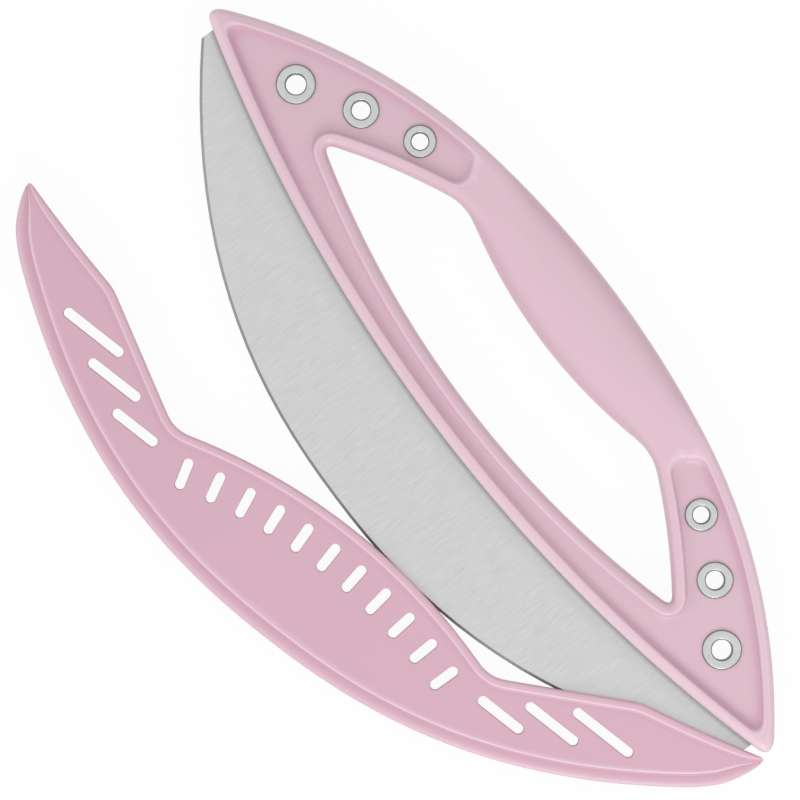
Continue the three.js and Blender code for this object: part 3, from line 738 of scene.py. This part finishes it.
# %% [markdown]
# ## The sheath
# The sheath is a flat pod: a raised bead runs along its mouth, the panels are flat, and beyond a
# small step a thinner band runs along the outer curve. It is drawn where it sits on the blade,
# as a grid with one column for each station along it and one row for each corner of its section,
# rolled up into a tube and closed at the tips. The whole piece is then swung off the blade about
# its right-hand tip, as it lies in the model.

# %% The cutting edge
HALF_BLADE = 173.2
BLADE_DEPTH = 47.6
BLADE_END = 5.6
CUTTING_POWER = 2.27
CUTTING_RISE = BLADE_DEPTH + blade_side_y(HALF_BLADE) - BLADE_END


def cutting_y(x):
    return CUTTING_RISE * (x / HALF_BLADE) ** CUTTING_POWER - BLADE_DEPTH


def cutting_slope(x):
    return CUTTING_RISE * CUTTING_POWER / HALF_BLADE * (x / HALF_BLADE) ** (CUTTING_POWER - 1)


def below_edge(x, distance):
    slope = cutting_slope(x)
    drop = distance / math.hypot(1, slope)
    return Vector((x + drop * slope, cutting_y(x) - drop))


print("rise of the cutting edge:", round(CUTTING_RISE, 2))

# %% Mouth of the sheath
SHEATH_TIP = 181.0
TIP_ROUND = 1.6
SEAT_GAP = 1.2
WING = 51.0
SHOULDER_TRIM = 3.2
BULGE_BELOW = 4.0
BULGE_RADIUS = 245.0
DIP_X = 77.5
DIP_TRIM = 6.5
BULGE_STEPS = 12
DIP_STEPS = 6
SLOPE_STEPS = 8
SHOULDER_STEPS = 5
WING_STEPS = 8
TIP_STATIONS = (9.6, 8.2, 7.0, 6.5, 6.1, 5.4, 4.2, 2.8, 1.6, 0.9, 0.45, 0.2)  # back from the tip


def wing_point(x):
    return Vector((x, blade_side_y(x, -SEAT_GAP)))


def tip_drop(back):
    """How far the round of the tip lies inside its square corner."""
    short = max(TIP_ROUND - back, 0.0)
    return TIP_ROUND - math.sqrt(TIP_ROUND**2 - short**2)


def bulge_point(x):
    return Vector((x, math.sqrt(BULGE_RADIUS**2 - x * x) - BULGE_RADIUS - BULGE_BELOW))


def mouth_half():
    shoulder, dip = wing_point(SHEATH_TIP - WING), bulge_point(DIP_X)
    slope = (shoulder - dip).normalized()
    bulge_end, wing_start = DIP_X - DIP_TRIM, SHEATH_TIP - WING + SHOULDER_TRIM
    slope_start, slope_end = dip + slope * DIP_TRIM, shoulder - slope * SHOULDER_TRIM
    line = [bulge_point(bulge_end * s) for s in steps(BULGE_STEPS)[:-1]]
    line += bend(bulge_point(bulge_end), dip, slope_start, DIP_STEPS)
    line += [slope_start.lerp(slope_end, s) for s in steps(SLOPE_STEPS)[:-1]]
    line += bend(slope_end, shoulder, wing_point(wing_start), SHOULDER_STEPS)
    wing_end = SHEATH_TIP - TIP_STATIONS[0]
    line += [wing_point(between(wing_start, wing_end, s)) for s in steps(WING_STEPS)[:-1]]
    line += [wing_point(SHEATH_TIP - back) - Vector((0, tip_drop(back))) for back in TIP_STATIONS]
    return line


print("stations along half of the mouth:", len(mouth_half()))

# %% Outer curve of the sheath
EDGE_TO_RIM = 10.4  # cutting edge to the outer curve
TIP_BLUNT = 3.4  # height of the tip before it is rounded
END_CURVE = 14.0
END_LEAN = 18.0


def outer_curve(mouth):
    """A point on the sheath's outer curve for each point of its mouth."""
    bend_x = SHEATH_TIP - END_CURVE
    station = last_below(lambda x: below_edge(x, EDGE_TO_RIM).x, bend_x, HALF_BLADE)
    start = below_edge(station, EDGE_TO_RIM)
    tip = wing_point(SHEATH_TIP) - Vector((0, TIP_BLUNT))
    lean, slope = math.tan(math.radians(END_LEAN)), cutting_slope(station)
    rise = slope * (tip.x - start.x - lean * (tip.y - start.y)) / (1 - slope * lean)
    corner = start + Vector((rise / slope, rise))
    line = []
    for p in mouth:
        if p.x < start.x:
            line.append(below_edge(station * p.x / start.x, EDGE_TO_RIM))
        else:
            t = (p.x - start.x) / (tip.x - start.x)
            raised = Vector((0, tip_drop(SHEATH_TIP - p.x)))
            line.append(start.lerp(corner, t).lerp(corner.lerp(tip, t), t) + raised)
    return line


print("lowest point of the sheath, before it swings:", round(below_edge(0.0, EDGE_TO_RIM).y, 2))

# %% Section of the sheath
SLOT_HALF = 1.2
SLOT_FLOOR = 5.7  # outer curve to the bottom of the slot for the blade
LEAST_FLOOR = 0.33  # share of the width left below the slot where the sheath is narrow
SLOT_END = HALF_BLADE + 1.5  # the slot runs a little past the blade
# Corners of the front half: distance from the mouth, height and painted light over the bead, then
# distance from the outer curve, height and painted light over the step and the band. Above 0 the
# painted light is a painted highlight on an edge, below 0 a painted shade at a foot.
BEAD = ((0.45, SLOT_HALF, 0.0), (0.0, 1.65, 0.0), (0.0, 3.3, 0.0), (0.4, 4.0, 0.1), (1.2, 4.2, 0.1),
        (2.6, 4.2, 0.2), (3.2, 4.05, 1.0), (3.6, 3.4, -0.3), (4.5, 3.2, -0.4), (6.0, 3.2, 0.0))
BAND = ((6.8, 3.2, 0.0), (5.9, 3.32, 0.6), (5.45, 3.25, 1.0), (5.1, 2.6, -0.8), (4.4, 2.4, -0.8),
        (2.4, 2.1, 0.0), (0.9, 1.8, 0.4), (0.25, 1.4, 0.3), (0.0, 0.8, 0.0))
NEEDED = 13.0  # a narrower stretch shrinks the bead and the band to fit
BEAD_SHARE = 0.3
BAND_SHARE = 0.62
CLOSED = ((0.0, 0.9), 0.08, 0.3)  # mouth's corner, depth and half width where the slot has ended
SLOT_ROWS = (1.0, 0.94, 0.3)  # shares of the slot's depth
PANEL_STEPS = 4
TIP_THINNING = 0.72
TIP_HEIGHT = 1.6
TIP_CAPS = ((0.85, 0.02), (0.45, 0.08))  # size of the sections that close the tip, and steps on


def eased(value):
    """Nearly the value itself while it is small, and never more than 1."""
    return value / (1 + value**4) ** 0.25


def sheath_ring(p, q, down, up):
    """One section of the sheath, as points of the drawing with their height and wear."""
    width = (p - q).length
    thin = between(TIP_THINNING, 1.0, smooth_share(width / NEEDED))
    bead_fit = eased(width * BEAD_SHARE / BEAD[-1][0])
    band_fit = eased(width * BAND_SHARE / BAND[0][0])
    bead = [(p + down * d * bead_fit, z * thin, tone) for d, z, tone in BEAD]
    band = [(q + up * d * band_fit, z * thin, tone) for d, z, tone in BAND]
    depth, half = width - min(SLOT_FLOOR, LEAST_FLOOR * width), SLOT_HALF
    if p.x > SLOT_END:
        (off, corner), depth, half = CLOSED
        bead[0] = (p + down * off, corner, 0.0)
    a, b = bead[-1], band[0]
    panel = [(a[0].lerp(b[0], i / PANEL_STEPS), a[1], 0.0) for i in range(1, PANEL_STEPS)]
    inwards = (q - p).normalized()
    slot = [(p + inwards * depth * share, half, 0.0) for share in SLOT_ROWS]
    side = slot + bead + panel + band
    return side + [(q, 0.0, 0.0)] + [(c, -z, tone) for c, z, tone in side[::-1]]


def sheath_rings():
    mouth = mouth_half()
    rim = outer_curve(mouth)
    from_rim = [-n for n in right_normals(rim)]
    rings = [sheath_ring(*place) for place in zip(mouth, rim, right_normals(mouth), from_rim)]
    end, middle = rings[-1], mouth[-1].lerp(rim[-1], 0.5)
    for size, step in TIP_CAPS:
        onward = middle + Vector((step * TIP_HEIGHT, 0))
        rings.append([(onward + (c - middle) * size, z * size, tone) for c, z, tone in end])
    left = [[(Vector((-c.x, c.y)), z, tone) for c, z, tone in ring] for ring in rings[:0:-1]]
    return left + rings


print("corners in the sheath's section:", len(sheath_rings()[0]))

# %% Rolling up the sheath
SEAM_MERGE = 1e-7


def sheath_blank():
    rings = [ring + ring[:1] for ring in sheath_rings()]
    deselect()
    bpy.ops.mesh.primitive_grid_add(x_subdivisions=len(rings[0]) - 1, y_subdivisions=len(rings) - 1)
    blank = bpy.context.object
    place_points(blank, [in_model(c.x, c.y, z) for ring in rings for c, z, _ in ring])
    set_tones(blank, [tone for ring in rings for _, _, tone in ring])
    edit_all(blank)
    bpy.ops.mesh.remove_doubles(threshold=SEAM_MERGE)
    bpy.ops.mesh.select_all(action="DESELECT")
    bpy.ops.mesh.select_non_manifold()
    bpy.ops.mesh.fill_holes(sides=0)
    outwards(blank)
    apply(blank, "SUBSURF", levels=SUBDIVISIONS, render_levels=SUBDIVISIONS)
    return blank


sheath = sheath_blank()
print("sheath, uncut:", len(sheath.data.polygons), "faces")

# %% [markdown]
# ## Slots and vents of the sheath
# Three slots at each end of the sheath, and a row of plain vents under its mouth, go right
# through. Their edges are softly rounded. A Bevel on the cut edges would meet the fine faces
# round them, so the round is made on the cutting tool: it flares where it passes the panel.

# %% A tool for the slots
SLOT_WIDTH = 4.0
SLOT_SIDES = 32
FLARE = ((6.0, 0.75), (3.25, 0.42), (3.05, 0.16), (2.85, 0.04), (2.6, 0.0))  # height, growth


def slot_tool():
    """A round tool that flares at both panels, drawn ring by ring from a circle."""
    levels = [(-z, grow) for z, grow in FLARE] + [(z, grow) for z, grow in FLARE[::-1]]
    radius = SLOT_WIDTH / 2 + levels[0][1]
    deselect()
    bpy.ops.mesh.primitive_circle_add(vertices=SLOT_SIDES, radius=radius * MM, fill_type="NGON",
                                      location=(0, 0, levels[0][0] * MM))
    tool = bpy.context.object
    bpy.ops.object.transform_apply(location=True)
    edit_all(tool)
    height = levels[0][0]
    for z, grow in levels[1:]:
        wide = (SLOT_WIDTH / 2 + grow) / radius
        bpy.ops.mesh.extrude_region_move(TRANSFORM_OT_translate={"value": (0, 0, (z - height) * MM)})
        bpy.ops.transform.resize(value=(wide, wide, 1), center_override=(0, 0, 0))
        radius, height = SLOT_WIDTH / 2 + grow, z
    outwards(tool)
    return tool


slot_pattern = slot_tool()
print("points of the tool:", len(slot_pattern.data.vertices))

# %% Places of the slots and vents
SLOTS = 3
SLOT_LENGTH = 28.5
SLOT_SHORTENING = 3.6
SLOT_X = 125.4
SLOT_STEP = Vector((17.7, 9.55))
SLOT_INSET = 21.8
VENTS = 11
VENT_LENGTH = 12.5
VENT_INSET = 14.5
VENT_REACH = 68.0


def slot_places():
    """Centre, length and direction of each slot and vent."""
    places = []
    first_y = below_edge(SLOT_X, EDGE_TO_RIM - SLOT_INSET).y
    for i in range(SLOTS):
        for side in (-1, 1):
            centre = Vector((side * (SLOT_X - i * SLOT_STEP.x), first_y - i * SLOT_STEP.y))
            places.append((centre, SLOT_LENGTH - i * SLOT_SHORTENING, 0.0))
    for share in steps(VENTS - 1):
        x = VENT_REACH * (2 * share - 1)
        lean = math.asin(x / BULGE_RADIUS)
        centre = bulge_point(x) - Vector((math.sin(lean), math.cos(lean))) * VENT_INSET
        places.append((centre, VENT_LENGTH, math.pi / 2 - lean))
    return places


print("slots and vents:", len(slot_places()))

# %% Cutting the sheath, and swinging it off the blade
SWING = 14.85


def slot_tools(pattern):
    tools = []
    for centre, length, angle in slot_places():
        tool = copy_of(pattern)
        straight = (length - SLOT_WIDTH) / 2 * MM
        for vertex in tool.data.vertices:
            vertex.co.x += math.copysign(straight, vertex.co.x)
        spot = in_model(centre.x, centre.y, 0)
        tool.data.transform(Matrix.Translation(spot) @ Matrix.Rotation(angle, 4, "Z"))
        tools.append(tool)
    bpy.data.objects.remove(pattern)
    return joined(tools)


cut(sheath, slot_tools(slot_pattern))
pivot = wing_point(SHEATH_TIP) - Vector((0, TIP_HEIGHT / 2))
hinge = in_model(pivot.x, pivot.y, 0)
print("sheath swings about:", tuple(round(c, 5) for c in hinge))
turn = Matrix.Rotation(math.radians(SWING), 4, "Z")
sheath.matrix_world = Matrix.Translation(hinge) @ turn @ Matrix.Translation(-hinge)
only(sheath)
bpy.ops.object.transform_apply(location=True, rotation=True, scale=True)
smooth(sheath, MOULDED_ANGLE)
finish_piece(sheath, "slotted_sheath", "sheath", "sheath")

# %% [markdown]
# ## Finishes
# The plastic is a satin moulding: its colour drifts a little and a fine grain breaks up the shine.
# Edges get a painted highlight, and corners and sunk parts a painted shade; this painted light
# follows the tones that the modelling left on the points. The steel is brushed across the blade, so
# its hairlines run along y, and its ground edge and the rivets' rounds get a painted shade.

# %% Node helpers


def new_material(name):
    material = bpy.data.materials.new(name)
    material.use_nodes = True
    nodes = material.node_tree.nodes
    return material, nodes, material.node_tree.links, nodes["Principled BSDF"]


def stretched_noise(nodes, links, scale, size, detail):
    """Noise on the piece's own coordinates, stretched by a scale for each axis."""
    coordinates = nodes.new("ShaderNodeTexCoord")
    mapping = nodes.new("ShaderNodeMapping")
    mapping.inputs["Scale"].default_value = scale
    noise = nodes.new("ShaderNodeTexNoise")
    noise.inputs["Scale"].default_value = size
    noise.inputs["Detail"].default_value = detail
    links.new(coordinates.outputs["Object"], mapping.inputs["Vector"])
    links.new(mapping.outputs["Vector"], noise.inputs["Vector"])
    return noise.outputs["Fac"]


def ranged(nodes, links, source, low, high, start=0.3, stop=0.7):
    step = nodes.new("ShaderNodeMapRange")
    step.inputs["From Min"].default_value = start
    step.inputs["From Max"].default_value = stop
    step.inputs["To Min"].default_value = low
    step.inputs["To Max"].default_value = high
    links.new(source, step.inputs["Value"])
    return step.outputs["Result"]


def blended(nodes, links, share, first, second):
    """A mix of two colours, of which the first may come from another node."""
    mix = nodes.new("ShaderNodeMix")
    mix.data_type = "RGBA"
    links.new(share, mix.inputs["Factor"])
    if isinstance(first, bpy.types.NodeSocket):
        links.new(first, mix.inputs["A"])
    else:
        mix.inputs["A"].default_value = (*first, 1)
    mix.inputs["B"].default_value = (*second, 1)
    return mix.outputs["Result"]


def calculated(nodes, links, operation, first, second=None):
    """A Math node on one or two inputs, of which the second may be a plain number."""
    step = nodes.new("ShaderNodeMath")
    step.operation = operation
    links.new(first, step.inputs[0])
    if isinstance(second, bpy.types.NodeSocket):
        links.new(second, step.inputs[1])
    elif second is not None:
        step.inputs[1].default_value = second
    return step.outputs["Value"]


def z_of(nodes, links, name):
    """The z of a place or a normal, as Texture Coordinate gives it."""
    coordinates = nodes.new("ShaderNodeTexCoord")
    split = nodes.new("ShaderNodeSeparateXYZ")
    links.new(coordinates.outputs[name], split.inputs["Vector"])
    return split.outputs["Z"]


def grain(nodes, links, shader, height, strength, distance):
    bump = nodes.new("ShaderNodeBump")
    bump.inputs["Strength"].default_value = strength
    bump.inputs["Distance"].default_value = distance
    links.new(height, bump.inputs["Height"])
    links.new(bump.outputs["Normal"], shader.inputs["Normal"])


# %% Satin plastic
EVEN = (1, 1, 1)
DRIFT = (0.985, 1.01)  # the colour's slow change
DRIFT_NOISE = (22, 2)  # size and detail
GRAIN_NOISE = (2600, 3)
GRAIN_RELIEF = (0.1, 0.00005)  # strength and depth
SATIN = (0.34, 0.44)  # roughness


def height_off_blade(nodes, links):
    """Distance from the blade's middle plane, in millimetres."""
    height = ranged(nodes, links, z_of(nodes, links, "Object"), -TOP, TOP, 0.0, 2 * TOP * MM)
    return calculated(nodes, links, "ABSOLUTE", height)


def satin_plastic(name, face, painted_sunk_shade, heights, painted_highlight, painted_shade):
    """Plastic with painted shade below the first of two heights, and painted highlights and shade
    from the points' tones.
    """
    material, nodes, links, shader = new_material(name)
    drift = ranged(nodes, links, stretched_noise(nodes, links, EVEN, *DRIFT_NOISE), 0, 1)
    tone = blended(nodes, links, drift, *([c * change for c in face] for change in DRIFT))
    # Painted shade over the sunk parts, below the first height.
    sunk = ranged(nodes, links, height_off_blade(nodes, links), 1, 0, *heights)
    tone = blended(nodes, links, sunk, tone, painted_sunk_shade)
    # Painted highlight on edges and painted shade in corners, from the tones on the points.
    painted_light = nodes.new("ShaderNodeAttribute")
    painted_light.attribute_name = PAINTED_LIGHT
    highlight_share = ranged(nodes, links, painted_light.outputs["Fac"], 0, 1, 0, 1)
    tone = blended(nodes, links, highlight_share, tone, painted_highlight)
    shaded = ranged(nodes, links, painted_light.outputs["Fac"], 1, 0, -1, 0)
    tone = blended(nodes, links, shaded, tone, painted_shade)
    links.new(tone, shader.inputs["Base Color"])
    fine = stretched_noise(nodes, links, EVEN, *GRAIN_NOISE)
    links.new(ranged(nodes, links, fine, *SATIN), shader.inputs["Roughness"])
    grain(nodes, links, shader, fine, *GRAIN_RELIEF)
    return material


# After the face colour come a painted shade for the sunk parts, a painted highlight for edges and a
# painted shade for corners.
handle_plastic = satin_plastic(
    "handle_plastic", face=(0.742, 0.52, 0.601), painted_sunk_shade=(0.692, 0.48, 0.556), heights=(5.2, 7.4),
    painted_highlight=(0.86, 0.66, 0.735), painted_shade=(0.62, 0.315, 0.43))
sheath_plastic = satin_plastic(
    "sheath_plastic", face=(0.685, 0.427, 0.523), painted_sunk_shade=(0.665, 0.407, 0.503), heights=(2.4, 4.0),
    painted_highlight=(0.83, 0.62, 0.695), painted_shade=(0.59, 0.34, 0.43))
for scale in (front, back):
    scale.data.materials.append(handle_plastic)
sheath.data.materials.append(sheath_plastic)
print("plastic on the scales and the sheath")

# %% Brushed steel
EDGE_LEVELS = (0.85, 0.97)  # from the ground edge to the flat of the blade
RIM_LEVELS = (0.7, 0.985)  # from the rounds of a rivet to its flat ring
HAIRLINE_NOISE = (1, 4)
HAIRLINE_RELIEF = (0.08, 0.00004)
DULL_METAL = 0.3


def brushed_steel(name, tones, hairlines, rough, edge, levels):
    """Steel with hairlines, and painted shade in a darker, duller tone where its faces lean between
    two levels.
    """
    material, nodes, links, shader = new_material(name)
    lines = stretched_noise(nodes, links, hairlines, *HAIRLINE_NOISE)
    tone = blended(nodes, links, ranged(nodes, links, lines, 0, 1), *tones)
    flat = calculated(nodes, links, "ABSOLUTE", z_of(nodes, links, "Normal"))
    # Painted shade where the faces lean, in the edge colour.
    tone = blended(nodes, links, ranged(nodes, links, flat, 1, 0, *levels), tone, edge)
    links.new(tone, shader.inputs["Base Color"])
    links.new(ranged(nodes, links, flat, DULL_METAL, 1, *levels), shader.inputs["Metallic"])
    links.new(ranged(nodes, links, lines, *rough), shader.inputs["Roughness"])
    grain(nodes, links, shader, lines, *HAIRLINE_RELIEF)
    return material


# In both steels the edge colour is a painted shade: on the blade's ground edge and on the rivets'
# rounds.
blade_steel = brushed_steel(
    "blade_steel", tones=((0.667, 0.667, 0.667), (0.762, 0.762, 0.762)), hairlines=(3000, 150, 150),
    rough=(0.34, 0.46), edge=(0.24, 0.24, 0.245), levels=EDGE_LEVELS)
rivet_steel = brushed_steel(
    "rivet_steel", tones=((0.66, 0.675, 0.67), (0.71, 0.725, 0.72)), hairlines=(900, 900, 900),
    rough=(0.36, 0.46), edge=(0.15, 0.15, 0.155), levels=RIM_LEVELS)
print("materials of steel:", blade_steel.name, rivet_steel.name)

# %% [markdown]
# ## The joint between blade and handle
# Where the blade slips into the handle, a dark line of painted shade marks the joint, and a painted
# shadow of the handle darkens the steel a little for a finger's width. The joint is an arc, so its
# place on the blade is the distance from the middle of that arc.

# %% Shade along the joint
# Width, strength and grey of the painted shadow and of the painted shade line.
JOINT_SHADE = (8.0, 0.2, 0.42)
JOINT_LINE = (2.0, 0.45, 0.12)


def shade_joint(material):
    nodes, links = material.node_tree.nodes, material.node_tree.links
    shader = nodes["Principled BSDF"]
    coordinates = nodes.new("ShaderNodeTexCoord")
    distance = nodes.new("ShaderNodeVectorMath")
    distance.operation = "DISTANCE"
    links.new(coordinates.outputs["Object"], distance.inputs[0])
    distance.inputs[1].default_value = in_model(0, BLADE_SIDE_RADIUS, 0)
    tone = shader.inputs["Base Color"].links[0].from_socket
    edge = BLADE_SIDE_RADIUS * MM
    # A wide painted shadow of the handle, then a narrow painted shade line at the joint.
    for width, strength, grey in (JOINT_SHADE, JOINT_LINE):
        share = ranged(nodes, links, distance.outputs["Value"], strength, 0, edge, edge + width * MM)
        tone = blended(nodes, links, share, tone, (grey, grey, grey))
    links.new(tone, shader.inputs["Base Color"])


shade_joint(blade_steel)
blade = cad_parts["blade"]
blade.data.materials.clear()
blade.data.materials.append(blade_steel)
for piece in rivets:
    piece.data.materials.append(rivet_steel)
print("steel on the blade and", len(rivets), "rivet halves")

# %% [markdown]
# ## Floor and light
# The picture has a white ground with only a faint shadow. The floor is a white surface that the
# camera, and reflections, see mostly as plain white, so that it keeps a weak shadow without more
# light on the object. A soft white sky, brightest overhead, does most of the lighting. Four lamps
# round the object, low enough to miss the flat faces, draw light lines along the rounded edges:
# the strongest comes from the lower edge of the picture, and a near one from its right.

# %% White floor
FLOOR_SIZE = 6
FLOOR_DROP = 0.3
FLOOR_TONE = (0.9, 0.9, 0.9, 1)
FLOOR_ROUGHNESS = 0.8
FLOOR_WHITE = 0.95  # share of plain white in what the camera sees
deselect()
bpy.ops.mesh.primitive_plane_add(size=FLOOR_SIZE, location=(0, 0, -FLOOR_DROP * MM))
floor = bpy.context.object
floor.name = "floor"
bpy.ops.object.transform_apply(location=True)
floor_white, nodes, links, shader = new_material("floor_white")
shader.inputs["Base Color"].default_value = FLOOR_TONE
shader.inputs["Roughness"].default_value = FLOOR_ROUGHNESS
white = nodes.new("ShaderNodeEmission")
rays = nodes.new("ShaderNodeLightPath").outputs
seen = calculated(nodes, links, "MAXIMUM", rays["Is Camera Ray"], rays["Is Glossy Ray"])
seen = calculated(nodes, links, "MAXIMUM", seen, rays["Is Transmission Ray"])
mix = nodes.new("ShaderNodeMixShader")
links.new(calculated(nodes, links, "MULTIPLY", seen, FLOOR_WHITE), mix.inputs["Fac"])
links.new(shader.outputs["BSDF"], mix.inputs[1])
links.new(white.outputs["Emission"], mix.inputs[2])
links.new(mix.outputs["Shader"], nodes["Material Output"].inputs["Surface"])
floor.data.materials.append(floor_white)
print("floor:", FLOOR_SIZE, "m wide")

# %% Sky
SKY_LOW = 0.38
SKY_HIGH = 0.88
world = bpy.data.worlds.new("sky")
scene.world = world
world.use_nodes = True
nodes, links = world.node_tree.nodes, world.node_tree.links
glow = ranged(nodes, links, z_of(nodes, links, "Generated"), SKY_LOW, SKY_HIGH, 0, 1)
links.new(glow, nodes["Background"].inputs["Strength"])
nodes["Background"].inputs["Color"].default_value = (1, 1, 1, 1)
print("sky:", world.name)

# %% Lamps
LAMP_RISE = math.radians(32)
LAMP_MIDDLE = Vector((0, -0.07, 0))  # they look at the middle of the object
# Direction round the object, distance from it, size and power.
LAMPS = {
    "lamp_below": (323, 1.2, 0.6, 4.85),
    "lamp_left": (233, 1.2, 0.5, 1.7),
    "lamp_right": (53, 0.55, 0.25, 0.27),
    "lamp_above": (143, 1.2, 0.5, 0.36),
}
for name, (turn_round, distance, size, power) in LAMPS.items():
    lamp = bpy.data.lights.new(name, "AREA")
    lamp.shape = "DISK"
    lamp.size = size
    lamp.energy = power
    holder = bpy.data.objects.new(name, lamp)
    turn_round = math.radians(turn_round)
    away = Vector((math.cos(turn_round), math.sin(turn_round), math.tan(LAMP_RISE))).normalized()
    holder.location = away * distance + LAMP_MIDDLE
    holder.rotation_euler = away.to_track_quat("Z", "Y").to_euler()
    scene.collection.objects.link(holder)
print("lamps:", len(LAMPS))

# %% [markdown]
# ## Camera
# The picture was taken from straight above and from far away, so circles stay round and the
# rivets are seen through. A long lens from 3.6 m does the same.

# %% Camera
CAMERA_TARGET = Vector((-0.01517, -0.07453, 0.012))
CAMERA_DISTANCE = 3.6
CAMERA_ROLL = math.radians(53.01)
IMAGE_WIDTH = 800
FOCAL_PIXELS = 9307.6
SENSOR_WIDTH = 36
camera = bpy.data.objects.new("camera", bpy.data.cameras.new("camera"))
camera.data.lens = FOCAL_PIXELS * SENSOR_WIDTH / IMAGE_WIDTH
camera.data.sensor_width = SENSOR_WIDTH
camera.data.sensor_fit = "HORIZONTAL"
camera.rotation_euler = (0, 0, CAMERA_ROLL)
camera.location = CAMERA_TARGET + Vector((0, 0, CAMERA_DISTANCE))
scene.collection.objects.link(camera)
scene.camera = camera
scene.view_settings.view_transform = "Standard"
print("camera at", tuple(round(c, 4) for c in camera.location))

# %% [markdown]
# ## The end
# Nothing is left selected when the script ends.

# %% Nothing selected
deselect()
